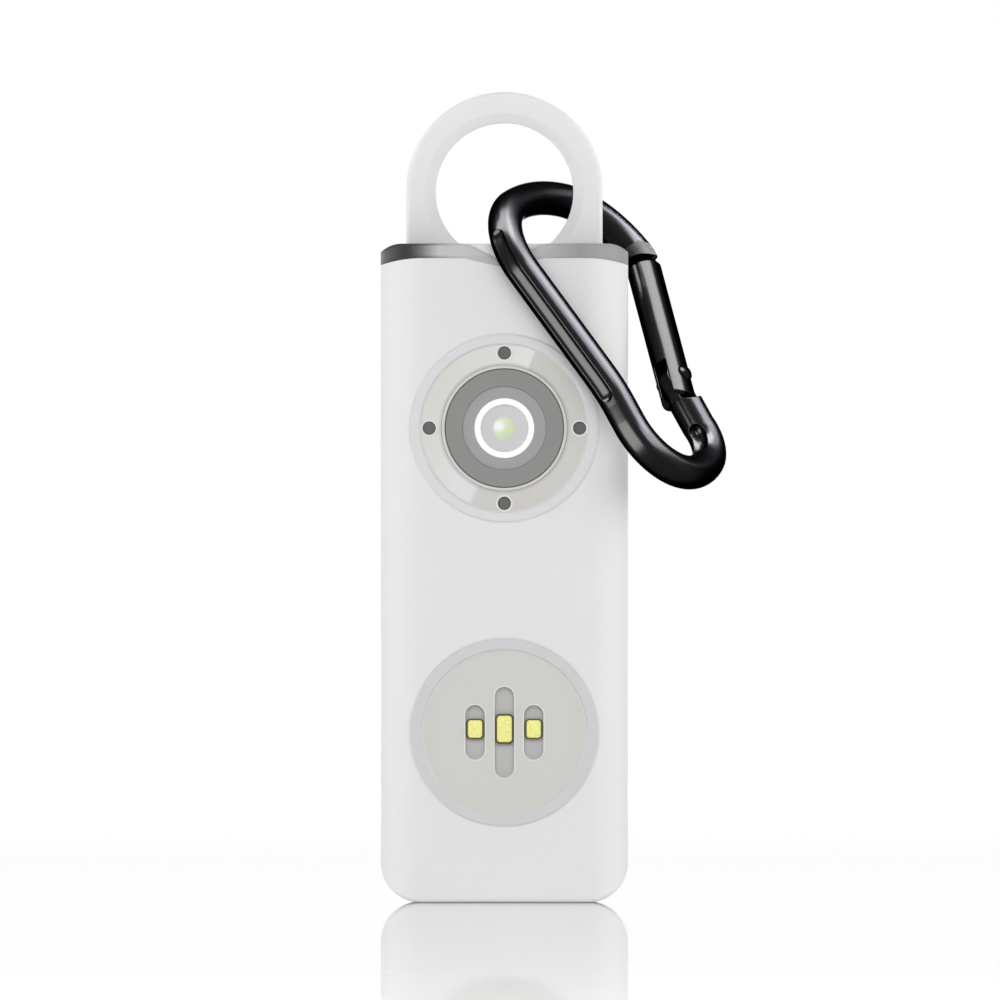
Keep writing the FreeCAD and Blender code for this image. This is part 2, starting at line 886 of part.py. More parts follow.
def resistors():
    solids = []
    for index in range(resistor_count):
        z = resistor_first_z + index * resistor_pitch
        solids.append(
            box(
                resistor_x - resistor_length / 2, resistor_x + resistor_length / 2,
                board_front_y - resistor_height, board_front_y, z - resistor_width / 2, z + resistor_width / 2,
            )
        )
    return Part.makeCompound(solids)


def boost_transformer():
    end_y = board_back_y + transformer_height
    return joined([
        disc(transformer_radius, board_back_y, board_back_y + transformer_flange, transformer_z, transformer_x),
        disc(transformer_waist_radius, board_back_y, end_y, transformer_z, transformer_x),
        disc(transformer_radius, end_y - transformer_flange, end_y, transformer_z, transformer_x),
    ])


def storage_capacitor():
    return disc(capacitor_radius, board_back_y, board_back_y + capacitor_height, capacitor_z, capacitor_x)


def leaf_box(side):
    low_y, high_y = sorted((side * leaf_near_y, side * (leaf_near_y + leaf_thickness)))
    return box(-leaf_width / 2, leaf_width / 2, low_y, high_y, leaf_low_z, leaf_high_z)


def contact_block():
    block = box(
        -contact_block_half_width, contact_block_half_width, board_back_y, contact_block_back_y,
        contact_block_low_z, contact_block_high_z,
    )
    return without(block, [leaf_box(-1), leaf_box(1)])


# Battery bay

def coin_cell(index):
    start_y = cell_front_y + index * cell_thickness
    can = disc(cell_radius, start_y + cell_step, start_y + cell_thickness, cell_centre_z)
    button_face = disc(cell_rim_radius, start_y, start_y + cell_step, cell_centre_z)
    return joined([can, button_face])


def battery_contact_negative():
    half_x = negative_plate_width / 2
    half_z = negative_plate_height / 2
    plate_top_y = board_back_y + negative_plate_thickness
    plate = box(-half_x, half_x, board_back_y, plate_top_y, cell_centre_z - half_z, cell_centre_z + half_z)
    tongue = disc(negative_tongue_radius, board_back_y, cell_front_y, cell_centre_z)
    return joined([plate, tongue])


def battery_contact_positive():
    half_x = positive_width / 2
    rim_z = cell_centre_z + cell_radius + cell_fit
    upright = box(
        -half_x, half_x,
        board_back_y, cell_back_y + positive_thickness,
        rim_z, rim_z + positive_thickness,
    )
    tongue = box(
        -half_x / 2, half_x / 2, cell_back_y, cell_back_y + positive_thickness,
        rim_z - positive_overlap, rim_z + positive_thickness,
    )
    return joined([upright, tongue])


def battery_door():
    outer = plan_prism(0.0, 0.0, cap_height)
    behind_step = box(-casing_width, casing_width, door_step_y, casing_depth, 0, cap_height)
    lid = door_outline(door_fit).common(behind_step)
    head_y = back_y - door_screw_sink - door_screw_head_height
    return without(lid.common(outer), [
        disc(door_screw_shank_radius, inner_front_y, back_y + overshoot, door_screw_z),
        disc(door_screw_head_radius + screw_fit, head_y, back_y + overshoot, door_screw_z),
    ])


def door_pad():
    return disc(pad_radius, cell_back_y + positive_thickness, door_step_y, cell_centre_z)


def battery_door_screw():
    head_high_y = back_y - door_screw_sink
    head_low_y = head_high_y - door_screw_head_height
    head = crossed_head(0.0, door_screw_z, head_low_y, head_high_y, door_screw_head_radius)
    shank = disc(door_screw_shank_radius, door_boss_front_y + cell_step, head_low_y, door_screw_z)
    return joined([head, shank])


def casing_screws():
    screws = []
    for x, z in screw_places:
        head_high_y = back_y - screw_head_sink
        head_low_y = head_high_y - screw_head_height
        head = crossed_head(x, z, head_low_y, head_high_y, screw_head_radius)
        shank = disc(screw_shank_radius, screw_reach_y, head_low_y, z, x)
        screws.append(joined([head, shank]))
    return Part.makeCompound(screws)


# Carabiner

def carabiner_placement():
    """The place of the carabiner's own plane: s, t and n as columns."""
    lean = math.radians(spine_lean_deg)
    turn = math.radians(plane_turn_deg)
    s_axis = vector(math.sin(lean), 0, -math.cos(lean))
    t_axis = vector(math.cos(lean) * math.cos(turn), math.sin(turn), math.sin(lean) * math.cos(turn))
    n_axis = s_axis.cross(t_axis)
    start = spine_start
    matrix = FreeCAD.Matrix(
        s_axis.x, t_axis.x, n_axis.x, start.x,
        s_axis.y, t_axis.y, n_axis.y, start.y,
        s_axis.z, t_axis.z, n_axis.z, start.z,
        0, 0, 0, 1,
    )
    return FreeCAD.Placement(matrix)


def placed(shape):
    moved = shape.copy()
    moved.Placement = carabiner_placement().multiply(moved.Placement)
    return moved


def heading_vector(heading):
    return vector(math.cos(heading), math.sin(heading), 0)


def run_of_arcs(start, heading, pieces):
    """Edges of tangent arcs, each a radius and a signed turn in degrees, with the last point and heading."""
    edges = []
    for radius, turn_deg in pieces:
        turn = math.radians(turn_deg)
        side = math.copysign(1.0, turn)
        centre = start + vector(-math.sin(heading), math.cos(heading), 0) * radius * side

        def point_at(angle):
            return centre - vector(-math.sin(angle), math.cos(angle), 0) * radius * side

        middle = point_at(heading + turn / 2)
        end = point_at(heading + turn)
        edges.append(Part.Arc(start, middle, end).toShape())
        heading += turn
        start = end
    return edges, start, heading


def swept_rod(edges, start, heading, radius):
    profile = Part.Wire([Part.makeCircle(radius, start, heading_vector(heading))])
    return Part.Wire(edges).makePipeShell([profile], True, False)


def hook_run():
    start = vector(hook_start_s, 0, 0)
    pieces = [(radius, -turn) for radius, turn in hook_arcs]
    return run_of_arcs(start, math.pi, pieces)


def pivot_point():
    return vector(pivot_s, pivot_t, 0)


def gate_direction():
    """From the pivot to the middle of the hook's nose."""
    nose = hook_run()[1]
    return (nose - pivot_point()).normalize()


def gate_closed_length():
    return (hook_run()[1] - pivot_point()).Length


def small_end_run(arcs=small_end_arcs):
    """The run from the spine's kink round the small end, by default up to the foot of the tongue."""
    start = vector(kink_start_s, 0, 0)
    edges, point, heading = run_of_arcs(start, 0.0, [(kink_radius, -kink_turn_deg)])
    after = point + heading_vector(heading) * kink_run
    edges.append(Part.LineSegment(point, after).toShape())
    more, point, heading = run_of_arcs(after, heading, arcs)
    return edges + more, point, heading


def spine_flute():
    """The long shallow flute on the spine's outer side."""
    offset = rod_radius + flute_radius - flute_depth
    lean = math.radians(flute_lean_deg)
    out = offset * math.cos(lean)
    rise = offset * math.sin(lean)
    corner = vector(hook_start_s, -out, rise)
    radius, _ = hook_arcs[0]
    upper, top_end, top_heading = run_of_arcs(corner, math.pi, [(radius + out, -flute_hook_turn_deg)])
    kink = vector(kink_start_s, -out, rise)
    lower, low_end, low_heading = run_of_arcs(kink, 0.0, [(kink_radius - out, -flute_kink_turn_deg)])
    straight = Part.LineSegment(corner, kink).toShape()
    return joined([
        swept_rod(upper, corner, math.pi, flute_radius),
        swept_rod([straight] + lower, corner, 0.0, flute_radius),
        Part.makeSphere(flute_radius, top_end),
        Part.makeSphere(flute_radius, low_end),
    ])


def small_end_pocket():
    """The scooped pocket on the inner side of the small end's last bend."""
    _, bend, heading = small_end_run(small_end_arcs[:-1])
    lean = math.radians(pocket_lean_deg)
    offset = rod_radius + pocket_radius - pocket_depth
    inward = offset * math.cos(lean)
    side = vector(-math.sin(heading), math.cos(heading), 0)
    start = bend + side * inward + vector(0, 0, offset * math.sin(lean))
    edges, end, _ = run_of_arcs(start, heading, [(small_end_high_radius - inward, pocket_turn_deg)])
    return joined([
        swept_rod(edges, start, heading, pocket_radius),
        Part.makeSphere(pocket_radius, start),
        Part.makeSphere(pocket_radius, end),
    ])


def nose_trim():
    """All that lies beyond the hook's flat nose, square to the closed gate."""
    nose = hook_run()[1]
    towards_pivot = gate_direction() * -1
    return Part.makeCylinder(2 * rod_radius, 3 * rod_radius, nose, towards_pivot)


def carabiner_frame():
    hook_edges, _, _ = hook_run()
    hook_start = vector(hook_start_s, 0, 0)
    end_edges, post, post_heading = small_end_run()
    spine = Part.LineSegment(hook_start, vector(kink_start_s, 0, 0)).toShape()
    pivot = pivot_point()
    foot = Part.makeCylinder(rod_radius, (pivot - post).Length, post, pivot - post)
    tongue = capsule_plate(post, pivot)
    body = joined([
        swept_rod(hook_edges, hook_start, math.pi, rod_radius),
        swept_rod([spine] + end_edges, hook_start, 0.0, rod_radius),
        Part.makeSphere(rod_radius, post),
        foot,
    ])
    clear_of_heel = about_pivot(heel_radius + heel_gap)
    body = without(body, [clear_of_heel, nose_trim(), spine_flute(), small_end_pocket()])
    body = joined([body, tongue])
    pin_hole = Part.makeCylinder(
        rivet_radius + pivot_fit, 4 * rod_radius, pivot - vector(0, 0, 2 * rod_radius), vector(0, 0, 1)
    )
    return placed(body.cut(pin_hole))


def capsule_plate(start, end):
    """A flat tongue in the carabiner's plane with a round end about its last point."""
    run = end - start
    half = tongue_thickness / 2
    side = vector(-run.y, run.x, 0).normalize() * tongue_half_width
    lift = vector(0, 0, half)
    corners = [start + side - lift, start - side - lift, end - side - lift, end + side - lift]
    strip = Part.Face(Part.makePolygon(corners + corners[:1])).extrude(vector(0, 0, tongue_thickness))
    eye = Part.makeCylinder(tongue_half_width, tongue_thickness, end - lift, vector(0, 0, 1))
    return joined([strip, eye])


def along_gate(distance):
    return pivot_point() + gate_direction() * distance


def about_pivot(radius):
    """A disc about the rivet, thicker than the carabiner."""
    up = vector(0, 0, 1)
    return Part.makeCylinder(radius, 4 * rod_radius, pivot_point() - up * 2 * rod_radius, up)


def gate_bar(radius, start, end):
    return Part.makeCylinder(radius, end - start, along_gate(start), gate_direction())


def carabiner_gate():
    tip = gate_closed_length() - gate_nose_gap
    taper_start = tip - gate_taper_length
    bar = gate_bar(gate_radius, 0.0, taper_start)
    heel = gate_bar(gate_radius, -heel_radius, 0.0).common(about_pivot(heel_radius))
    taper = Part.makeCone(
        gate_radius, gate_tip_radius, gate_taper_length, along_gate(taper_start), gate_direction()
    )
    body = joined([bar, taper, heel])
    half_slot = tongue_thickness / 2 + gate_slot_clearance
    run = gate_direction()
    side = vector(-run.y, run.x, 0) * 2 * gate_radius
    lift = vector(0, 0, half_slot)
    near = along_gate(-2 * heel_radius)
    far = along_gate(gate_slot_depth)
    corners = [near + side - lift, near - side - lift, far - side - lift, far + side - lift]
    slot = Part.Face(Part.makePolygon(corners + corners[:1])).extrude(lift * 2)
    bore_end = plunger_pin_start + plunger_pin_length + gate_spring_length
    bore = gate_bar(plunger_pin_radius + gate_bore_fit, gate_slot_depth - overshoot, bore_end)
    pin_hole = Part.makeCylinder(
        rivet_radius, 4 * gate_radius, pivot_point() - vector(0, 0, 2 * gate_radius), vector(0, 0, 1)
    )
    return placed(without(body, [slot, bore, pin_hole] + rivet_head_seats()))


def rivet_head_seats():
    seats = []
    for side in (-1, 1):
        foot = pivot_point() + vector(0, 0, side * rivet_head_base)
        seats.append(Part.makeCylinder(rivet_head_radius, gate_radius, foot, vector(0, 0, side)))
    return seats


def gate_rivet():
    pivot = pivot_point()
    reach = vector(0, 0, rivet_head_base)
    solids = [Part.makeCylinder(rivet_radius, 2 * rivet_head_base, pivot - reach, vector(0, 0, 1))]
    up = vector(0, 0, 1)
    solids.append(Part.makeCylinder(rivet_head_radius, rivet_back_head_height, pivot - reach, up * -1))
    solids.append(Part.makeCylinder(rivet_head_radius, rivet_head_side, pivot + reach, up))
    ball_radius = (rivet_head_radius ** 2 + rivet_dome_height ** 2) / (2 * rivet_dome_height)
    shoulder = pivot + reach + up * rivet_head_side
    ball = Part.makeSphere(ball_radius, shoulder + up * (rivet_dome_height - ball_radius))
    solids.append(ball.common(Part.makeCylinder(rivet_head_radius, rivet_dome_height * 2, shoulder, up)))
    return placed(joined(solids))


def gate_plunger():
    return placed(gate_bar(plunger_pin_radius, plunger_pin_start, plunger_pin_start + plunger_pin_length))


def gate_spring():
    start = plunger_pin_start + plunger_pin_length
    tube = gate_bar(plunger_pin_radius, start, start + gate_spring_length)
    hollow = gate_bar(plunger_pin_radius - gate_spring_wall, start, start + gate_spring_length)
    return placed(tube.cut(hollow))


def build_nodes():
    nodes = {
        "front_shell": front_shell(),
        "back_shell": back_shell(),
        "top_cap": top_cap(),
        "casing_screws": casing_screws(),
        "upper_trim_ring": trim_ring(upper_trim_inner_radius, upper_module_z),
        "bezel_plate": bezel_plate(),
        "button_cap": button_cap(),
        "button_step": button_step(),
        "button_halo": button_halo(),
        "torch_lens": torch_lens(),
        "button_spring": button_spring(),
        "switch_plunger": switch_plunger(),
        "tact_switch": tact_switch(),
        "torch_led": torch_led(),
        "lower_trim_ring": trim_ring(lower_trim_inner_radius, lower_module_z),
        "grille_plate": grille_plate(),
        "strobe_board": strobe_board(),
        "sounder_housing": sounder_housing(),
        "piezo_disc": piezo_disc(),
        "piezo_ceramic": piezo_ceramic(),
        "main_board": main_board(),
        "board_screws": board_screws(),
        "controller_chip": controller_chip(),
        "driver_transistor": driver_transistor(),
        "resistors": resistors(),
        "boost_transformer": boost_transformer(),
        "storage_capacitor": storage_capacitor(),
        "contact_block": contact_block(),
        "switch_leaf_front": leaf_box(-1),
        "switch_leaf_back": leaf_box(1),
        "battery_contact_negative": battery_contact_negative(),
        "battery_contact_positive": battery_contact_positive(),
        "battery_door": battery_door(),
        "battery_door_screw": battery_door_screw(),
        "door_pad": door_pad(),
        "pull_ring": pull_ring(),
        "activation_blade": activation_blade(),
        "carabiner_frame": carabiner_frame(),
        "carabiner_gate": carabiner_gate(),
        "gate_rivet": gate_rivet(),
        "gate_plunger": gate_plunger(),
        "gate_spring": gate_spring(),
    }
    for index in range(cell_count):
        nodes["coin_cell_" + str(index + 1)] = coin_cell(index)
    led_names = ("left", "centre", "right")
    led_heights = (side_led_height, centre_led_height, side_led_height)
    for name, height, (x, _) in zip(led_names, led_heights, slot_places()):
        nodes["strobe_led_" + name] = strobe_led_frame(x, height)
        nodes["strobe_lens_" + name] = strobe_led_lens(x, height)
    return nodes


def main():
    os.makedirs("parts", exist_ok=True)
    for node, shape in build_nodes().items():
        save(node, shape)


main()
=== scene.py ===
"""Dressed model of a pull-ring safety alarm with its carabiner, in a plain pale studio."""

from __future__ import annotations

import json
import logging
import math
from dataclasses import dataclass
from enum import Enum

import bmesh
import bpy
from mathutils import Matrix, Quaternion, Vector

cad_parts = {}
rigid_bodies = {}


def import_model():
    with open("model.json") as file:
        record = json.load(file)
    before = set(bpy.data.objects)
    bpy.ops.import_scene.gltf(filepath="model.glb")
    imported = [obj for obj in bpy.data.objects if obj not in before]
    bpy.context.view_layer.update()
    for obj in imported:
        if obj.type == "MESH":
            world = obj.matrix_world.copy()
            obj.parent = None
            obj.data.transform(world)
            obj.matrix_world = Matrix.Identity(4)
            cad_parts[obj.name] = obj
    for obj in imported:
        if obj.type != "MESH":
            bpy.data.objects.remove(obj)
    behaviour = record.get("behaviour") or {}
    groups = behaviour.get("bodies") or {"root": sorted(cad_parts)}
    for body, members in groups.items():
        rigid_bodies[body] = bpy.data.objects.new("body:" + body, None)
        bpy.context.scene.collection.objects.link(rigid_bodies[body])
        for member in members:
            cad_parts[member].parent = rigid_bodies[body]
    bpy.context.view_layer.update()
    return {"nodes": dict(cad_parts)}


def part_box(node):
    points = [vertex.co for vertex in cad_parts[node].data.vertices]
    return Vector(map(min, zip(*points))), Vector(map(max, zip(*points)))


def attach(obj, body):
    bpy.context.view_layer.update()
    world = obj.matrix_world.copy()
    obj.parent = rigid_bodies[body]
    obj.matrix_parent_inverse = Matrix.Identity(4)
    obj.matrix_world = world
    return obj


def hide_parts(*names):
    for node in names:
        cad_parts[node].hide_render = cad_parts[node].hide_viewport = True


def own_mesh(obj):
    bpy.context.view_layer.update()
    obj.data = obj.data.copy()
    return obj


for leftover in list(bpy.data.objects):
    bpy.data.objects.remove(leftover)
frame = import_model()

log = logging.getLogger("alarm")

Colour = tuple[float, float, float]
Point = tuple[float, float, float]
Outline = list[tuple[float, float]]

MM = 0.001
WHITE: Colour = (1.0, 1.0, 1.0)
WARM: Colour = (1.0, 1.0, 0.98)
COOL: Colour = (0.97, 0.955, 1.0)
CREAM: Colour = (1.0, 0.99, 0.9)
PLASTIC_IOR = 1.46
EVEN: Point = (1.0, 1.0, 1.0)
MIDDLE: Point = (0.0, 0.0, 0.05)
MERGE_MM = 1e-5
SMOOTH_ANGLE = math.radians(40.0)
CORNER_SEGMENTS = 8
SLIVER_MM = 0.001


class Body(Enum):
    """The moving bodies that added pieces ride on."""

    CASING = "casing"
    BUTTON = "light_button"
    RING = "ring_assembly"


def linear(red: int, green: int, blue: int) -> Colour:
    """Turns a display colour from 0 to 255 into a shader colour from 0 to 1."""
    shares = (red / 255, green / 255, blue / 255)
    return tuple(part / 12.92 if part <= 0.04045 else ((part + 0.055) / 1.055) ** 2.4 for part in shares)


@dataclass(frozen=True)
class Wire:
    """A number in a node tree; arithmetic on it adds Math nodes."""

    bench: NodeBench
    socket: bpy.types.NodeSocket

    def math(self, operation: str, *others: Wire | float, clamp: bool = False) -> Wire:
        """Adds one Math node with this value first, kept from 0 to 1 if it is clamped."""
        return self.bench.math(operation, self, *others, clamp=clamp)

    def __add__(self, other: Wire | float) -> Wire:
        """Sum."""
        return self.math("ADD", other)

    def __radd__(self, other: float) -> Wire:
        """Sum with a number first."""
        return self.math("ADD", other)

    def __sub__(self, other: Wire | float) -> Wire:
        """Difference."""
        return self.math("SUBTRACT", other)

    def __rsub__(self, other: float) -> Wire:
        """Difference from a number."""
        return self.bench.math("SUBTRACT", other, self)

    def __mul__(self, other: Wire | float) -> Wire:
        """Product."""
        return self.math("MULTIPLY", other)

    def __rmul__(self, other: float) -> Wire:
        """Product with a number first."""
        return self.math("MULTIPLY", other)

    def __truediv__(self, other: Wire | float) -> Wire:
        """Quotient."""
        return self.math("DIVIDE", other)

    def __pow__(self, other: Wire | float) -> Wire:
        """Power."""
        return self.math("POWER", other)

    def __abs__(self) -> Wire:
        """Size without the sign."""
        return self.math("ABSOLUTE")

    def clamped(self) -> Wire:
        """The value kept from 0 to 1."""
        return self.math("ADD", 0.0, clamp=True)

    def between(self, low: float, high: float) -> Wire:
        """A smooth rise from 0 at the low value to 1 at the high one."""
        share = ((self - low) / (high - low)).clamped()
        return share * share * (3.0 - 2.0 * share)

    def around(self, middle: float, spread: float) -> Wire:
        """A noise from 0 to 1, moved and scaled to spread around a middle."""
        return middle + (self - 0.5) * spread


def span(*parts: Wire) -> Wire:
    """The length of a vector from its parts."""
    squares = [part * part for part in parts]
    return sum(squares[1:], squares[0]).math("SQRT")


class NodeBench:
    """A node tree under construction."""

    def __init__(self, tree: bpy.types.NodeTree) -> None:
        """Empties the tree to fill."""
        self.tree = tree
        tree.nodes.clear()

    def node(self, kind: str, settings: dict | None = None, inputs: dict | None = None) -> bpy.types.Node:
        """Adds a node, sets it up and feeds its sockets.

        Args:
            kind: The node's type.
            settings: Attributes of the node, and a ramp's stops under "stops".
            inputs: Values or links by the socket's name or place.

        Returns:
            The new node.
        """
        made = self.tree.nodes.new(kind)
        for name, value in (settings or {}).items():
            if name == "stops":
                self._set_stops(made, value)
            else:
                setattr(made, name, value)
        for name, value in (inputs or {}).items():
            target = made.inputs[name]
            if isinstance(value, Wire):
                value = value.socket
            if isinstance(value, bpy.types.NodeSocket):
                self.tree.links.new(value, target)
            else:
                target.default_value = (*value, 1.0) if target.type == "RGBA" else value
        return made

    @staticmethod
    def _set_stops(ramp: bpy.types.Node, stops: list[tuple[float, Colour]]) -> None:
        """Gives a ramp its stops.

        Args:
            ramp: The ramp node.
            stops: Places from 0 to 1, each with a colour.
        """
        elements = ramp.color_ramp.elements
        while len(elements) > 1:
            elements.remove(elements[-1])
        for index, (place, colour) in enumerate(stops):
            element = elements[0] if index == 0 else elements.new(place)
            element.position = place
            element.color = (*colour, 1.0)

    def number(
        self, kind: str, settings: dict | None = None, inputs: dict | None = None, output: int | str = 0
    ) -> Wire:
        """Adds a node and takes one of its outputs as a number."""
        return Wire(self, self.node(kind, settings, inputs).outputs[output])

    def math(self, operation: str, *values: Wire | float, clamp: bool = False) -> Wire:
        """Adds a Math node for numbers and wires, kept from 0 to 1 if it is clamped."""
        settings = {"operation": operation, "use_clamp": clamp}
        return self.number("ShaderNodeMath", settings, dict(enumerate(values)))

    def ray(self, kind: str) -> Wire:
        """1 for rays of one kind, such as Camera, and 0 for others."""
        return self.number("ShaderNodeLightPath", output=f"Is {kind} Ray")

    def seen(self) -> Wire:
        """1 for rays from the camera, off gloss or through glass, and 0 for others."""
        plain = self.ray("Camera").math("MAXIMUM", self.ray("Glossy"))
        return plain.math("MAXIMUM", self.ray("Transmission"))

    def place(self, centre: Point = (0.0, 0.0, 0.0)) -> list[Wire]:
        """The object coordinates in millimetres from a centre.

        Args:
            centre: The centre in millimetres.

        Returns:
            The three coordinates.
        """
        source = self.node("ShaderNodeTexCoord").outputs["Object"]
        parts = self.node("ShaderNodeSeparateXYZ", inputs={0: source}).outputs
        axes = [Wire(self, part) / MM for part in parts]
        return [axis - offset if offset else axis for axis, offset in zip(axes, centre)]

    def joined(self, x: Wire, y: Wire, z: Wire) -> bpy.types.NodeSocket:
        """A vector from three numbers."""
        return self.node("ShaderNodeCombineXYZ", inputs={0: x, 1: y, 2: z}).outputs[0]

    def grain(
        self, per_mm: float, stretch: Point = EVEN, detail: float = 2.0, rough: float = 0.5
    ) -> Wire:
        """Noise that is fixed to the object.

        Args:
            per_mm: How many grains lie on a millimetre.
            stretch: How much finer the grain is along each axis.
            detail: The noise's detail.
            rough: The noise's roughness.

        Returns:
            The noise from 0 to 1.
        """
        at = self.joined(*(axis * finer for axis, finer in zip(self.place(), stretch)))
        inputs = {"Vector": at, "Scale": per_mm, "Detail": detail, "Roughness": rough}
        return self.number("ShaderNodeTexNoise", inputs=inputs)

    def mixed(
        self, share: Wire, first: Colour | bpy.types.NodeSocket, second: Colour | bpy.types.NodeSocket
    ) -> bpy.types.NodeSocket:
        """A blend of two colours by the second one's share."""
        return self.node("ShaderNodeMix", {"data_type": "RGBA"}, {0: share, 6: first, 7: second}).outputs[2]

    def ramp(self, share: Wire, stops: list[tuple[float, Colour]]) -> bpy.types.NodeSocket:
        """A colour that follows a number from 0 to 1 through stops."""
        return self.node("ShaderNodeValToRGB", {"stops": stops}, {0: share}).outputs[0]

    def relief(self, height: Wire, depth_mm: float, edge_mm: float) -> bpy.types.NodeSocket:
        """A bumped normal whose sharp edges look rounded.

        Args:
            height: The height from 0 to 1.
            depth_mm: How deep a height of 1 is, in millimetres.
            edge_mm: The rounding's radius.

        Returns:
            The normal.
        """
        rounded = self.node("ShaderNodeBevel", {"samples": 6}, {"Radius": edge_mm * MM}).outputs[0]
        inputs = {"Height": height, "Distance": depth_mm * MM, "Strength": 1.0, "Normal": rounded}
        return self.node("ShaderNodeBump", inputs=inputs).outputs[0]


class MaterialBench(NodeBench):
    """A material under construction around one Principled shader."""

    def __init__(self, name: str) -> None:
        """Starts the material under its name."""
        self.material = bpy.data.materials.new(name)
        self.material.use_nodes = True
        super().__init__(self.material.node_tree)

    def finish(self, constants: dict, links: dict) -> bpy.types.Material:
        """Adds the shader and the output.

        Args:
            constants: Values set on the shader's own sockets.
            links: Sockets or wires that vary over the surface.

        Returns:
            The finished material.
        """
        shader = self.node("ShaderNodeBsdfPrincipled", inputs={**constants, **links})
        self.node("ShaderNodeOutputMaterial", inputs={"Surface": shader.outputs[0]})
        return self.material


@dataclass(frozen=True)
class MouldedPlastic:
    """Moulded plastic with a fine spark-eroded grain and faint tone changes."""

    name: str
    colour: Colour
    roughness: float = 0.45
    grain_per_mm: float = 9.0
    grain_mm: float = 0.004
    tone: float = 0.02
    edge_mm: float = 0.12
    # Emission that makes the part give off a painted glow though it is no lamp.
    painted_light: float = 0.0
    patch_per_mm: float = 0.12
    wear_per_mm: float = 1.7
    wear: float = 0.08

    def material(self) -> bpy.types.Material:
        """Builds the material."""
        bench = MaterialBench(self.name)
        patches = bench.grain(self.patch_per_mm, detail=3.0)
        darker = tuple(part * (1 - self.tone) for part in self.colour)
        lighter = tuple(min(1.0, part * (1 + self.tone)) for part in self.colour)
        return bench.finish(
            # Emission here paints a glow on the part.
            {"IOR": PLASTIC_IOR, "Emission Color": WHITE, "Emission Strength": self.painted_light},
            {
                "Base Color": bench.mixed(patches, darker, lighter),
                "Roughness": bench.grain(self.wear_per_mm).around(self.roughness, self.wear),
                "Normal": bench.relief(bench.grain(self.grain_per_mm), self.grain_mm, self.edge_mm),
            },
        )


@dataclass(frozen=True)
class ShellPlastic:
    """White casing plastic with the parting line between its halves."""

    name: str = "shell_plastic"
    darker: Colour = linear(227, 227, 228)
    lighter: Colour = linear(230, 230, 229)
    patch_per_mm: float = 0.09
    seam_colour: Colour = linear(150, 150, 150)
    seam_start_mm: float = 0.042
    seam_end_mm: float = 0.126
    seam_mm: float = 0.08
    side_mm: tuple[float, float] = (14.0, 14.2)
    foot_mm: tuple[float, float] = (0.6, 1.1)
    grain_per_mm: float = 8.0
    grain_share: float = 0.05
    edge_mm: float = 0.15
    roughness: float = 0.42
    wear_per_mm: float = 1.3
    wear: float = 0.1

    def material(self) -> bpy.types.Material:
        """Builds the material."""
        bench = MaterialBench(self.name)
        x, y, z = bench.place()
        off_seam = abs(y).between(self.seam_start_mm, self.seam_end_mm)
        outer = abs(x).between(*self.side_mm).math("MAXIMUM", 1.0 - z.between(*self.foot_mm))
        seam = (1.0 - off_seam) * outer
        height = bench.grain(self.grain_per_mm) * self.grain_share - seam
        tone = bench.mixed(bench.grain(self.patch_per_mm), self.darker, self.lighter)
        return bench.finish(
            {"IOR": PLASTIC_IOR},
            {
                "Base Color": bench.mixed(seam, tone, self.seam_colour),
                "Roughness": bench.grain(self.wear_per_mm).around(self.roughness, self.wear),
                "Normal": bench.relief(height, self.seam_mm, self.edge_mm),
            },
        )


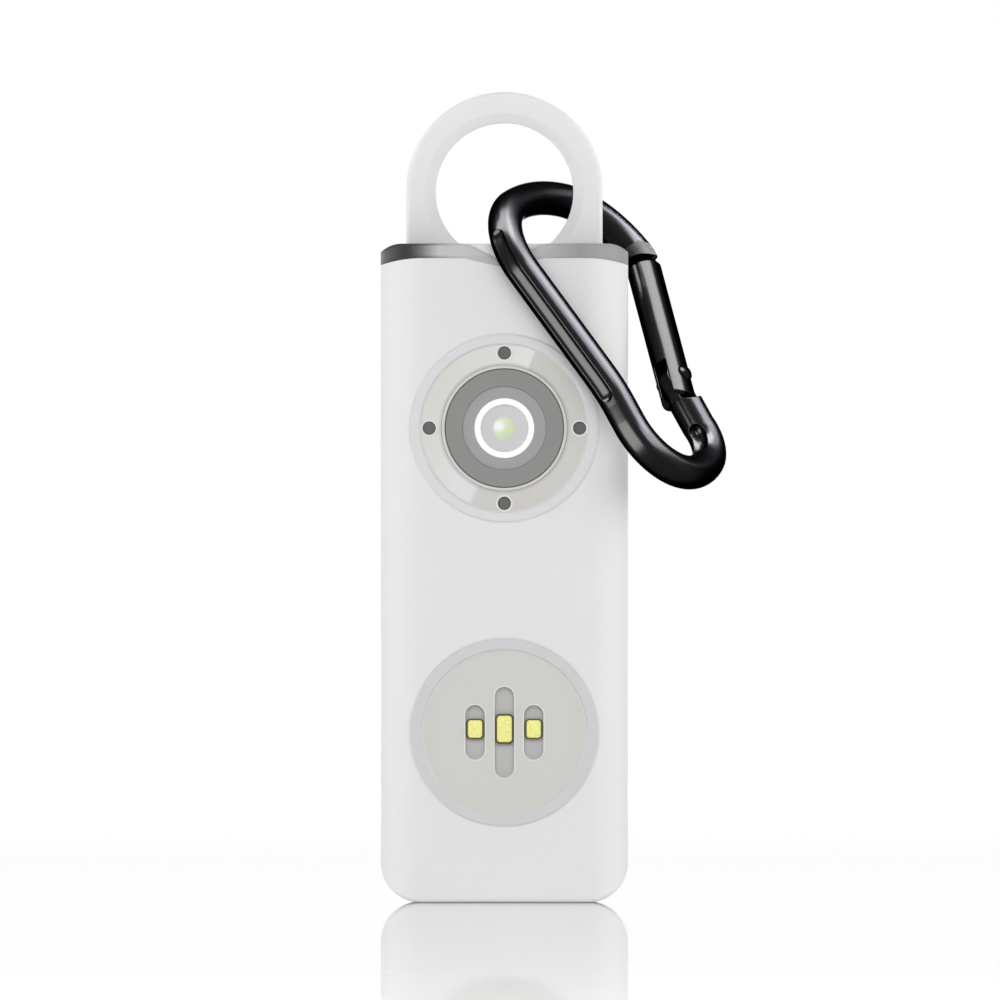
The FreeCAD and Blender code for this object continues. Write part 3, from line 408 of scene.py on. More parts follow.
@dataclass(frozen=True)
class GunmetalBandPaintedReflection:
    """Brushed gun-metal band with a painted reflection that darkens it towards its left end, and painted
    shade along its top and bottom edges.
    """

    name: str = "gunmetal_band_painted_reflection"
    half_width_mm: float = 14.5
    middle_z_mm: float = 76.25
    half_height_mm: float = 0.85
    edge_start: float = 0.55
    edge_end: float = 0.95
    bend_start_mm: float = 10.6
    bend_per_mm: float = 0.06
    # Tones across the band with its reflection painted in: darkest near the left end, lightest in the middle
    # and a little darker to the right.
    stops: tuple[tuple[float, int], ...] = (
        (-14.5, 112), (-13.9, 90), (-13.2, 77), (-12.4, 62), (-11.7, 53), (-11.0, 60),
        (-10.3, 91), (-9.6, 117), (-8.7, 158), (-7.6, 191), (-5.2, 191), (-2.8, 189),
        (4.2, 187), (6.5, 166), (8.9, 149), (11.2, 159), (12.9, 159), (14.5, 146),
    )
    # Painted shade on the band's top and bottom edges near the left end.
    painted_shade_colour: Colour = linear(38, 38, 38)
    painted_shade_share: float = 0.75
    painted_shade_mm: tuple[float, float] = (-11.0, -4.0)
    # Painted shade along the band's top and bottom edges.
    rim: Colour = linear(120, 120, 120)
    painted_rim_shade_share: float = 0.12
    fleck: Colour = linear(210, 210, 212)
    fleck_share: float = 0.35
    fleck_from: float = 0.55
    fleck_per_mm: float = 11.0
    brush_per_mm: float = 6.0
    brush_stretch: Point = (0.25, 0.25, 5.0)
    wander_mm: float = 0.8

    def material(self) -> bpy.types.Material:
        """Builds the material."""
        bench = MaterialBench(self.name)
        x, _, z = bench.place()
        brushed = bench.grain(self.brush_per_mm, self.brush_stretch, detail=3.0, rough=0.6)
        speckle = bench.grain(self.fleck_per_mm, rough=0.7)
        width = 2 * self.half_width_mm
        share = (x + self.half_width_mm + (brushed - 0.5) * self.wander_mm) / width
        places = [
            ((at + self.half_width_mm) / width, linear(tone, tone, tone + 1)) for at, tone in self.stops
        ]
        # The ramp paints the band's reflection into its colour.
        tone_and_painted_reflection = bench.ramp(share.clamped(), places)
        bend = (abs(x) - self.bend_start_mm).math("MAXIMUM", 0.0)
        from_middle = abs(z - self.middle_z_mm + bend * bend * self.bend_per_mm)
        edge = from_middle.between(self.edge_start * self.half_height_mm, self.edge_end * self.half_height_mm)
        # Painted shade on the top and bottom edges: deep at the left end and gone before the middle, with a
        # fainter darker rim all along.
        painted_left_edge_shade = edge * (1.0 - x.between(*self.painted_shade_mm)) * self.painted_shade_share
        with_painted_edge_shade = bench.mixed(edge * self.painted_rim_shade_share, bench.mixed(painted_left_edge_shade, tone_and_painted_reflection, self.painted_shade_colour), self.rim)
        flecks = (speckle - self.fleck_from).clamped() * self.fleck_share
        return bench.finish(
            {"Metallic": 0.45, "IOR": 1.4},
            {
                "Base Color": bench.mixed(flecks, with_painted_edge_shade, self.fleck),
                "Roughness": speckle.around(0.46, 0.2),
                "Normal": bench.relief(brushed + speckle * 0.6, depth_mm=0.008, edge_mm=0.1),
            },
        )


@dataclass(frozen=True)
class FrostedPlastic:
    """Milky frosted plastic that lets a little light in."""

    name: str
    colour: Colour
    depth_mm: float = 0.6
    weight: float = 0.25
    roughness: float = 0.38
    wear: float = 0.1
    shade: float = 0.975
    cloud_per_mm: float = 0.35
    grain_per_mm: float = 12.0
    grain_mm: float = 0.004
    edge_mm: float = 0.18

    def material(self) -> bpy.types.Material:
        """Builds the material."""
        bench = MaterialBench(self.name)
        cloud = bench.grain(self.cloud_per_mm, detail=3.0)
        darker = tuple(part * self.shade for part in self.colour)
        return bench.finish(
            {
                "Subsurface Weight": self.weight, "Subsurface Radius": EVEN,
                "Subsurface Scale": self.depth_mm * MM, "IOR": PLASTIC_IOR,
            },
            {
                "Base Color": bench.mixed(cloud, darker, self.colour),
                "Roughness": cloud.around(self.roughness, self.wear),
                "Normal": bench.relief(bench.grain(self.grain_per_mm), self.grain_mm, self.edge_mm),
            },
        )


@dataclass(frozen=True)
class SpunMetal:
    """Spun plate with fine turning lines, a painted highlight in two bright sectors and painted shade in a
    groove.
    """

    name: str = "spun_metal"
    centre: Point = (0.0, 0.0, 55.5)
    # The plate's tone round its middle, with the spun highlight painted in as the two bright sectors.
    painted_highlight_sectors: tuple[tuple[float, Colour], ...] = (
        (0.0, linear(222, 222, 217)),
        (15.0, linear(228, 228, 225)),
        (21.4, linear(229, 229, 227)),
        (22.4, linear(206, 205, 199)),
        (60.0, linear(204, 203, 197)),
        (120.0, linear(207, 206, 200)),
        (165.0, linear(207, 204, 199)),
        (203.0, linear(206, 204, 200)),
        (206.0, linear(224, 223, 226)),
        (222.0, linear(225, 225, 226)),
        (245.0, linear(219, 219, 215)),
        (300.0, linear(216, 216, 210)),
        (360.0, linear(222, 222, 217)),
    )
    # Painted shade in the groove round the lip.
    painted_groove_shade: Colour = linear(172, 172, 168)
    painted_groove_shade_share: float = 0.45
    groove_start_mm: tuple[float, float] = (7.3, 7.4)
    groove_end_mm: tuple[float, float] = (7.5, 7.8)
    streak: Colour = linear(188, 187, 181)
    streak_share: float = 0.4
    streak_per_mm: float = 9.0
    line_per_mm: float = 38.0
    line_share: float = 0.25
    line_wander: float = 2.0
    wander_per_mm: float = 0.8

    def material(self) -> bpy.types.Material:
        """Builds the material."""
        bench = MaterialBench(self.name)
        x, _, z = bench.place(self.centre)
        turn = (x.math("ARCTAN2", z) / math.tau + 1.0).math("FRACT")
        radius = span(x, z)
        lines = (radius * self.line_per_mm + bench.grain(self.wander_per_mm) * self.line_wander).math("SINE")
        inputs = {"W": radius, "Scale": self.streak_per_mm, "Detail": 3.0}
        streak = bench.number("ShaderNodeTexNoise", {"noise_dimensions": "1D"}, inputs)
        # Paints the two bright highlight sectors into the colour by the angle round the middle.
        colour = bench.ramp(turn, [(at / 360.0, tone) for at, tone in self.painted_highlight_sectors])
        # Painted shade in a ring round the lip, where a groove is.
        painted_groove_shade = radius.between(*self.groove_start_mm) * (1.0 - radius.between(*self.groove_end_mm))
        with_painted_groove_shade = bench.mixed(painted_groove_shade * self.painted_groove_shade_share, colour, self.painted_groove_shade)
        return bench.finish(
            {"Metallic": 0.15, "IOR": 1.45},
            {
                "Base Color": bench.mixed((streak - 0.5).clamped() * self.streak_share, with_painted_groove_shade, self.streak),
                "Roughness": streak.around(0.5, 0.2),
                "Normal": bench.relief(lines * self.line_share + streak, depth_mm=0.003, edge_mm=0.08),
            },
        )


@dataclass(frozen=True)
class GlossLacquer:
    """Glossy black plating over a cast rod, with a matt band where the gate strikes the hook's end."""

    name: str = "gloss_lacquer"
    colour: Colour = (0.0125, 0.0122, 0.0128)
    edge: Colour = (0.03, 0.03, 0.03)
    roughness: float = 0.22
    wear: float = 0.05
    shades: tuple[float, float] = (0.9, 1.12)
    ripple_per_mm: float = 0.9
    ripple_share: float = 0.8
    grain_per_mm: float = 7.0
    grain_share: float = 0.06
    band_colour: Colour = (0.021, 0.021, 0.021)
    band_roughness: float = 0.42
    nose: Point = (16.242, 11.610, 74.905)
    gate_line: Point = (-0.213, 0.540, 0.816)
    band_start_mm: float = 0.05
    band_end_mm: float = 1.55
    band_reach_mm: float = 3.2
    band_soft_mm: float = 0.05

    def material(self) -> bpy.types.Material:
        """Builds the material."""
        bench = MaterialBench(self.name)
        ripple = bench.grain(self.ripple_per_mm)
        fine = bench.grain(self.grain_per_mm, detail=3.0)
        darker, lighter = (tuple(part * shade for part in self.colour) for shade in self.shades)
        x, y, z = bench.place(self.nose)
        along = x * self.gate_line[0] + y * self.gate_line[1] + z * self.gate_line[2]
        soft = self.band_soft_mm
        band = along.between(self.band_start_mm, self.band_start_mm + soft)
        band = band * (1.0 - along.between(self.band_end_mm - soft, self.band_end_mm))
        band = band * (1.0 - span(x, y, z).between(self.band_reach_mm, self.band_reach_mm + 2 * soft))
        height = ripple * self.ripple_share + fine * self.grain_share
        return bench.finish(
            {"Metallic": 1.0, "Specular Tint": self.edge, "IOR": 1.5},
            {
                "Base Color": bench.mixed(band, bench.mixed(fine, darker, lighter), self.band_colour),
                "Roughness": fine.around(self.roughness, self.wear) + band * self.band_roughness,
                "Normal": bench.relief(height, depth_mm=0.004, edge_mm=0.16),
            },
        )


@dataclass(frozen=True)
class BareMetal:
    """Plain metal with a brushed or drawn grain and faint stains."""

    name: str
    colour: Colour
    roughness: float = 0.3
    stretch: Point = (1.0, 1.0, 6.0)
    grain_per_mm: float = 5.0
    grain_mm: float = 0.004
    stain_per_mm: float = 0.6
    stain: float = 0.9
    wear: float = 0.2
    edge_mm: float = 0.08

    def material(self) -> bpy.types.Material:
        """Builds the material."""
        bench = MaterialBench(self.name)
        brushed = bench.grain(self.grain_per_mm, self.stretch, detail=3.0, rough=0.6)
        stained = tuple(part * self.stain for part in self.colour)
        return bench.finish(
            {"Metallic": 1.0, "IOR": 1.5},
            {
                "Base Color": bench.mixed(bench.grain(self.stain_per_mm), stained, self.colour),
                "Roughness": brushed.around(self.roughness, self.wear),
                "Normal": bench.relief(brushed, self.grain_mm, self.edge_mm),
            },
        )


@dataclass(frozen=True)
class TorchLens:
    """Moulded lens whose middle shows the phosphor of the light behind it, with painted shading across the
    phosphor and a painted highlight on the dome.
    """

    name: str = "torch_lens"
    centre: Point = (0.0, 0.0, 55.5)
    dome_start_mm: float = 1.2462
    dome_end_mm: float = 1.3802
    # A painted highlight on the dome, up and to the left of its middle.
    glint: Colour = linear(252, 254, 255)
    glint_centre: Point = (-0.62, 0.0, 55.75)
    glint_mm: tuple[float, float] = (0.1, 0.95)
    # Painted shading of the phosphor: lighter to the top left, deeper green to the bottom right.
    gel_high: Colour = linear(230, 238, 208)
    gel_low: Colour = linear(208, 230, 182)
    gel_fall: float = 0.28
    gel_lean: float = 0.12
    plate_dark: Colour = linear(204, 204, 206)
    plate_light: Colour = linear(208, 208, 209)
    cloud_per_mm: float = 0.8
    grain_per_mm: float = 6.0

    def material(self) -> bpy.types.Material:
        """Builds the material."""
        bench = MaterialBench(self.name)
        x, _, z = bench.place(self.centre)
        inside = 1.0 - span(x, z).between(self.dome_start_mm, self.dome_end_mm)
        # Mask of the painted highlight on the dome.
        glint_x, _, glint_z = bench.place(self.glint_centre)
        painted_light = 1.0 - span(glint_x, glint_z).between(*self.glint_mm)
        # Share of the painted shading, growing down and to the right.
        low = (0.5 - z * self.gel_fall + x * self.gel_lean).clamped()
        gel_with_painted_light = bench.mixed(painted_light, bench.mixed(low, self.gel_high, self.gel_low), self.glint)
        plate = bench.mixed(bench.grain(self.cloud_per_mm), self.plate_dark, self.plate_light)
        return bench.finish(
            {"Coat Weight": 0.4, "Coat Roughness": 0.05, "IOR": 1.49, "Roughness": 0.25},
            {
                "Base Color": bench.mixed(inside, plate, gel_with_painted_light),
                "Normal": bench.relief(bench.grain(self.grain_per_mm), depth_mm=0.003, edge_mm=0.1),
            },
        )


@dataclass(frozen=True)
class PhosphorGel:
    """Grainy yellow phosphor of a lamp chip, with a painted glow."""

    name: str
    colour: Colour
    dark: Colour
    cell_per_mm: float = 5.0
    cell_share: float = 0.9
    grain_per_mm: float = 7.0
    grain_share: float = 1.2
    grain_mm: float = 0.02
    # The chip is not lit; this emission is a painted glow.
    painted_light: float = 0.12

    def material(self) -> bpy.types.Material:
        """Builds the material."""
        bench = MaterialBench(self.name)
        inputs = {"Vector": bench.joined(*bench.place()), "Scale": self.cell_per_mm}
        cells = bench.number("ShaderNodeTexVoronoi", inputs=inputs)
        fine = bench.grain(self.grain_per_mm, detail=3.0, rough=0.7)
        share = (cells * self.cell_share + (fine - 0.5) * self.grain_share).clamped()
        colour = bench.mixed(share, self.colour, self.dark)
        return bench.finish(
            {"Coat Weight": 0.3, "Coat Roughness": 0.1, "Roughness": 0.4, "Emission Strength": self.painted_light},
            {
                "Base Color": colour, "Emission Color": colour,
                "Normal": bench.relief(fine, self.grain_mm, edge_mm=0.06),
            },
        )


@dataclass(frozen=True)
class SolderMask:
    """Green board with etched tracks under the lacquer."""

    name: str = "solder_mask"
    board: Colour = (0.012, 0.11, 0.045)
    track: Colour = (0.03, 0.2, 0.08)
    row_per_mm: float = 0.7
    row_edge: tuple[float, float] = (0.08, 0.12)
    column_per_mm: float = 0.5
    column_edge: tuple[float, float] = (0.06, 0.1)
    wander_per_mm: float = 0.25
    wander: float = 3.0
    track_mm: float = 0.02

    def material(self) -> bpy.types.Material:
        """Builds the material."""
        bench = MaterialBench(self.name)
        x, _, z = bench.place()
        wander = bench.grain(self.wander_per_mm) * self.wander
        rows = abs((x * self.row_per_mm + wander).math("FRACT") - 0.5).between(*self.row_edge)
        columns = abs((z * self.column_per_mm + wander).math("FRACT") - 0.5).between(*self.column_edge)
        track = 1.0 - rows * columns
        return bench.finish(
            {"Coat Weight": 0.6, "Coat Roughness": 0.1, "Roughness": 0.35},
            {
                "Base Color": bench.mixed(track, self.board, self.track),
                "Normal": bench.relief(track, self.track_mm, edge_mm=0.05),
            },
        )


class Finish(Enum):
    """The finishes by the record's material slot."""

    SHELL = "white_shell"
    CAP = "gunmetal_cap"
    RING = "frosted_plastic"
    TRIM = "frosted_trim"
    BEZEL = "spun_bezel"
    BUTTON = "dark_button"
    STEP = "step_grey"
    HALO = "halo_white"
    LENS = "torch_lens"
    GRILLE = "grille_grey"
    SLOT_FLOOR = "slot_floor"
    LED_FRAME = "led_frame"
    LED_YELLOW = "led_yellow"
    LED_WHITE = "led_white"
    BLACK = "black_plastic"
    BOARD = "board_green"
    SCREW = "screw_steel"
    SPRING = "spring_steel"
    CONTACT = "contact_metal"
    PIEZO = "piezo_brass"
    CERAMIC = "ceramic_white"
    FERRITE = "ferrite"
    CAN = "can_metal"
    CELL = "cell_steel"
    PAD = "pad_rubber"
    BLADE = "blade_black"
    LACQUER = "carabiner_black"
    RIVET = "rivet_metal"


RECIPES = {
    Finish.SHELL: ShellPlastic(),
    # The cap's band, with a painted reflection and painted edge shade.
    Finish.CAP: GunmetalBandPaintedReflection(),
    Finish.RING: FrostedPlastic("frosted_ring", linear(234, 234, 235)),
    Finish.TRIM: FrostedPlastic("frosted_trim", linear(222, 222, 223), weight=0.1),
    Finish.BEZEL: SpunMetal(),
    Finish.BUTTON: MouldedPlastic("button_plastic", linear(140, 141, 138), 0.5, tone=0.03),
    Finish.STEP: MouldedPlastic("step_plastic", linear(160, 162, 161), 0.5, tone=0.03),
    # The halo gives off a painted glow.
    Finish.HALO: MouldedPlastic("halo_plastic", (0.97, 0.97, 0.97), 0.3, tone=0.01, edge_mm=0.05, painted_light=0.1),
    Finish.LENS: TorchLens(),
    Finish.GRILLE: MouldedPlastic("grille_plastic", linear(209, 208, 203), 0.4, tone=0.015, edge_mm=0.1),
    Finish.SLOT_FLOOR: MouldedPlastic("slot_floor", linear(196, 196, 195), 0.6),
    Finish.LED_FRAME: MouldedPlastic("led_frame", linear(84, 84, 52), 0.35, tone=0.05, edge_mm=0.04),
    Finish.LED_YELLOW: PhosphorGel("led_yellow", linear(244, 243, 150), linear(222, 218, 128)),
    Finish.LED_WHITE: PhosphorGel("led_white", linear(244, 242, 205), linear(225, 222, 170)),
    Finish.BLACK: MouldedPlastic("black_plastic", linear(48, 48, 48), 0.5, tone=0.06),
    Finish.BOARD: SolderMask(),
    Finish.SCREW: BareMetal("screw_steel", (0.55, 0.55, 0.55), 0.28),
    Finish.SPRING: BareMetal("spring_steel", (0.5, 0.5, 0.5), 0.25),
    Finish.CONTACT: BareMetal("contact_metal", (0.75, 0.6, 0.3), 0.25),
    Finish.PIEZO: BareMetal("piezo_brass", (0.78, 0.6, 0.28), 0.22),
    Finish.CERAMIC: MouldedPlastic("piezo_ceramic", (0.8, 0.78, 0.72), 0.4),
    Finish.FERRITE: MouldedPlastic("ferrite", (0.045, 0.045, 0.05), 0.6, tone=0.1),
    Finish.CAN: BareMetal("can_metal", (0.7, 0.7, 0.72), 0.25, EVEN),
    Finish.CELL: BareMetal("cell_steel", (0.66, 0.66, 0.66), 0.2),
    Finish.PAD: MouldedPlastic("pad_rubber", (0.06, 0.06, 0.06), 0.8, grain_per_mm=4.0, grain_mm=0.05),
    Finish.BLADE: MouldedPlastic("blade_plastic", (0.04, 0.04, 0.04), 0.4),
    Finish.LACQUER: GlossLacquer(),
    Finish.RIVET: BareMetal("rivet_metal", (0.14, 0.14, 0.145), 0.2, EVEN),
}


class Extra(Enum):
    """Finishes that only added pieces and one trim ring wear, each within a slot of the record."""

    GAUZE = MouldedPlastic("port_gauze", linear(106, 106, 105), 0.6, 14.0, 0.03, 0.2)
    # Pale colour of the raised rims round the bezel's holes, a painted highlight on their edges.
    PAINTED_HIGHLIGHT_RIM = MouldedPlastic("painted_highlight_rim", linear(231, 231, 230), 0.4, tone=0.01, edge_mm=0.05)
    # Pale colour of the raised rims round the grille's slots, a painted highlight on their edges.
    SLOT_PAINTED_HIGHLIGHT = MouldedPlastic("slot_rim", linear(226, 226, 222), 0.35, tone=0.01, edge_mm=0.05)
    SEAL = MouldedPlastic("seal_rubber", linear(219, 219, 219), 0.6)
    LINER = MouldedPlastic("vee_liner", linear(228, 228, 229), 0.6)
    SKIRT = MouldedPlastic("lens_skirt", linear(209, 210, 212), 0.4, tone=0.01, edge_mm=0.03)
    LIP = MouldedPlastic("bezel_lip", linear(212, 212, 209), 0.4, edge_mm=0.06)
    GREY_TRIM = FrostedPlastic("grey_trim", linear(210, 210, 210), weight=0.1)


class Wardrobe:
    """Makes each finish once and puts it on nodes and pieces."""

    def __init__(self) -> None:
        """Starts with no finish made."""
        self._made: dict[Finish | Extra, bpy.types.Material] = {}

    def material(self, finish: Finish | Extra) -> bpy.types.Material:
        """Makes a finish's material at its first use.

        Args:
            finish: The finish.

        Returns:
            Its material.
        """
        if finish not in self._made:
            recipe = finish.value if isinstance(finish, Extra) else RECIPES[finish]
            self._made[finish] = recipe.material()
        return self._made[finish]

    def dress(self, wear: dict[str, Finish | Extra]) -> None:
        """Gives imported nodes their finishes.

        Args:
            wear: The finish that each node wears.
        """
        for node, finish in wear.items():
            shape = frame["nodes"][node]
            if not shape.data.materials:
                shape.data.materials.append(None)
            for slot in shape.material_slots:
                slot.material = self.material(finish)
            log.info("node %s wears %s", node, finish.name)

    def piece(
        self, name: str, mesh: bmesh.types.BMesh, slot: Finish, body: Body, look: Extra | None = None
    ) -> bpy.types.Object:
        """Turns a bmesh in millimetres into a dressed piece.

        Args:
            name: The piece's name.
            mesh: The shape, which is freed.
            slot: The record's slot that it belongs to.
            body: The body that it rides on.
            look: A finish of its own within the slot.

        Returns:
            The new object.
        """
        bmesh.ops.remove_doubles(mesh, verts=mesh.verts, dist=MERGE_MM)
        bmesh.ops.recalc_face_normals(mesh, faces=mesh.faces)
        bmesh.ops.scale(mesh, vec=(MM, MM, MM), verts=mesh.verts)
        for edge in mesh.edges:
            edge.smooth = len(edge.link_faces) == 2 and edge.calc_face_angle(0.0) < SMOOTH_ANGLE
        for face in mesh.faces:
            face.smooth = True
        data = bpy.data.meshes.new(name)
        mesh.to_mesh(data)
        mesh.free()
        made = bpy.data.objects.new(name, data)
        bpy.context.scene.collection.objects.link(made)
        data.materials.append(self.material(look or slot))
        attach(made, body.value)
        log.info("piece %s rides on %s", name, body.value)
        return made


def turned(profile: Outline, centre: Point, steps: int) -> bmesh.types.BMesh:
    """A shape turned about an axis along Y.

    Args:
        profile: Radius and y of each corner of the closed section, in millimetres.
        centre: The axis's place; its y is added to the profile's.
        steps: The number of sides.

    Returns:
        The turned shape.
    """
    mesh = bmesh.new()
    corners = [mesh.verts.new((radius, y, 0.0)) for radius, y in profile]
    edges = [mesh.edges.new(pair) for pair in zip(corners, corners[1:] + corners[:1])]
    bmesh.ops.spin(
        mesh, geom=corners + edges, cent=(0, 0, 0), axis=(0, 1, 0), angle=math.tau, steps=steps,
        use_merge=True,
    )
    bmesh.ops.translate(mesh, vec=centre, verts=mesh.verts)
    return mesh


def joined_up(parts: list[bmesh.types.BMesh]) -> bmesh.types.BMesh:
    """Several shapes in one bmesh.

    Args:
        parts: The shapes, which are freed.

    Returns:
        The joined shape.
    """
    whole = bmesh.new()
    for part in parts:
        data = bpy.data.meshes.new("part")
        part.to_mesh(data)
        part.free()
        whole.from_mesh(data)
        bpy.data.meshes.remove(data)
    return whole


def rounded_block(
    size: tuple[float, float], front: float, back: float, corner: float, place: tuple[float, float]
) -> bmesh.types.BMesh:
    """A block whose four corners are round as seen from the front.

    Args:
        size: Its width and height in millimetres.
        front: Its front face's y.
        back: Its back face's y.
        corner: The corner radius.
        place: Its middle's x and z.

    Returns:
        The block.
    """
    depth = back - front
    mesh = bmesh.new()
    bmesh.ops.create_cube(mesh, size=1.0)
    bmesh.ops.scale(mesh, vec=(size[0], depth, size[1]), verts=mesh.verts)
    deep = [edge for edge in mesh.edges if abs(edge.verts[0].co.y - edge.verts[1].co.y) > 0.5 * depth]
    bmesh.ops.bevel(
        mesh, geom=deep, offset=corner, offset_type="OFFSET", segments=CORNER_SEGMENTS, profile=0.5,
        affect="EDGES", material=-1,
    )
    bmesh.ops.translate(mesh, vec=(place[0], (front + back) / 2, place[1]), verts=mesh.verts)
    return mesh


def facing(mesh: bmesh.types.BMesh, side: int) -> bmesh.types.BMFace:
    """The largest face that looks along Y, at the front for -1 and at the back for 1."""
    mesh.normal_update()
    return max(mesh.faces, key=lambda face: face.calc_area() * (face.normal.y * side > 0.9))


def obround_rim(
    size: tuple[float, float], wall: float, front: float, back: float, place: tuple[float, float]
) -> bmesh.types.BMesh:
    """A flat rim round a slot with round ends.

    Args:
        size: The slot's width and height in millimetres.
        wall: The rim's width.
        front: The rim's front face's y.
        back: The rim's back face's y.
        place: The slot's middle's x and z.

    Returns:
        The rim.
    """
    width, height = size[0] + 2 * wall, size[1] + 2 * wall
    mesh = rounded_block((width, height), front, back, width / 2 - SLIVER_MM, place)
    inner = []
    for side in (-1, 1):
        face = facing(mesh, side)
        bmesh.ops.inset_region(mesh, faces=[face], thickness=wall, use_even_offset=True)
        inner.append(face)
    edges = [edge for face in inner for edge in face.edges]
    bmesh.ops.delete(mesh, geom=inner, context="FACES_ONLY")
    bmesh.ops.bridge_loops(mesh, edges=edges)
    return mesh


def extruded(mesh: bmesh.types.BMesh, face: bmesh.types.BMFace, depth: float) -> None:
    """Pulls a copy of a face along Y, with walls between the two.

    Args:
        mesh: The shape that the face belongs to.
        face: The face, which stays.
        depth: How far the copy goes, in millimetres.
    """
    moved = bmesh.ops.extrude_face_region(mesh, geom=[face])["geom"]
    corners = [part for part in moved if isinstance(part, bmesh.types.BMVert)]
    bmesh.ops.translate(mesh, vec=(0, depth, 0), verts=corners)


def upright_prism(outline: Outline, front_y: float, back_y: float) -> bmesh.types.BMesh:
    """A closed body from an upright outline.

    Args:
        outline: The outline's points as (x, z).
        front_y: Where the body starts.
        back_y: Where it ends.

    Returns:
        The body.
    """
    mesh = bmesh.new()
    section = mesh.faces.new([mesh.verts.new((x, front_y, z)) for x, z in outline])
    extruded(mesh, section, back_y - front_y)
    return mesh


@dataclass(frozen=True)
class Vee:
    """The shallow vee in the cap's top."""

    reach: float = 4.4
    slope: float = 0.5
    tip_z: float = 74.75
    root_radius: float = 2.5
    shares: tuple[float, ...] = (-0.26, -0.19, -0.1, 0.0, 0.1, 0.19, 0.26)

    def height(self, x: float) -> float:
        """The cap's height in its vee.

        Args:
            x: The place across the vee.

        Returns:
            The height in millimetres.
        """
        radius = self.root_radius
        turn = math.atan(self.slope)
        if abs(x) < radius * math.sin(turn):
            return self.tip_z + radius / math.cos(turn) - math.sqrt(radius * radius - x * x)
        return self.tip_z + self.slope * abs(x)

    def line(self, lift: float, share: float = 1.0) -> Outline:
        """Points along a share of the vee from left to right, lifted off the cap."""
        places = [self.reach * part for part in (-share, *self.shares, share)]
        return [(x, self.height(x) + lift) for x in places]


@dataclass
class Casing:
    """The two shells, the cap band and their screws."""

    wardrobe: Wardrobe
    vee: Vee
    liner_front_y: float = -6.42
    liner_back_y: float = -4.9
    liner_lift: float = 0.01
    liner_thickness: float = 0.15

    def build(self) -> None:
        """Adds the pale liner under the ring's saddle."""
        lower = self.vee.line(self.liner_lift)
        upper = [(x, z + self.liner_thickness) for x, z in reversed(lower)]
        mesh = upright_prism(lower + upper, self.liner_front_y, self.liner_back_y)
        self.wardrobe.piece("vee_liner", mesh, Finish.TRIM, Body.CASING, Extra.LINER)

    def dress(self) -> None:
        """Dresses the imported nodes."""
        self.wardrobe.dress({
            "front_shell": Finish.SHELL, "back_shell": Finish.SHELL, "top_cap": Finish.CAP,
            "casing_screws": Finish.SCREW,
        })


@dataclass
class RoundModule:
    """A round plate in the casing's front, inside a trim ring."""

    wardrobe: Wardrobe
    centre_z: float
    plate_radius: float
    plate_y: float = -6.4
    shell_y: float = -6.5
    trim_radius: float = 11.05
    seal_depth: float = 0.2
    plate_steps: int = 128

    def at(self, y: float, x: float = 0.0, up: float = 0.0) -> Point:
        """A place at a depth, counted across and up from the module's middle."""
        return (x, y, self.centre_z + up)

    def add_seals(self, name: str) -> None:
        """Adds the thin seals on both sides of the trim ring.

        Args:
            name: The piece's name.
        """
        trim, plate, deep = self.trim_radius, self.plate_radius, self.seal_depth
        outer = [(trim - 0.09, deep), (trim - 0.09, -0.03), (trim + 0.01, -0.02), (trim + 0.09, 0.005)]
        inner = [(plate - 0.12, deep), (plate - 0.12, -0.005), (plate - 0.04, -0.02), (plate + 0.08, -0.03)]
        both = joined_up([
            turned([*profile, (profile[-1][0], deep)], self.at(y), self.plate_steps)
            for profile, y in ((outer, self.shell_y), (inner, self.plate_y))
        ])
        self.wardrobe.piece(name, both, Finish.TRIM, Body.CASING, Extra.SEAL)


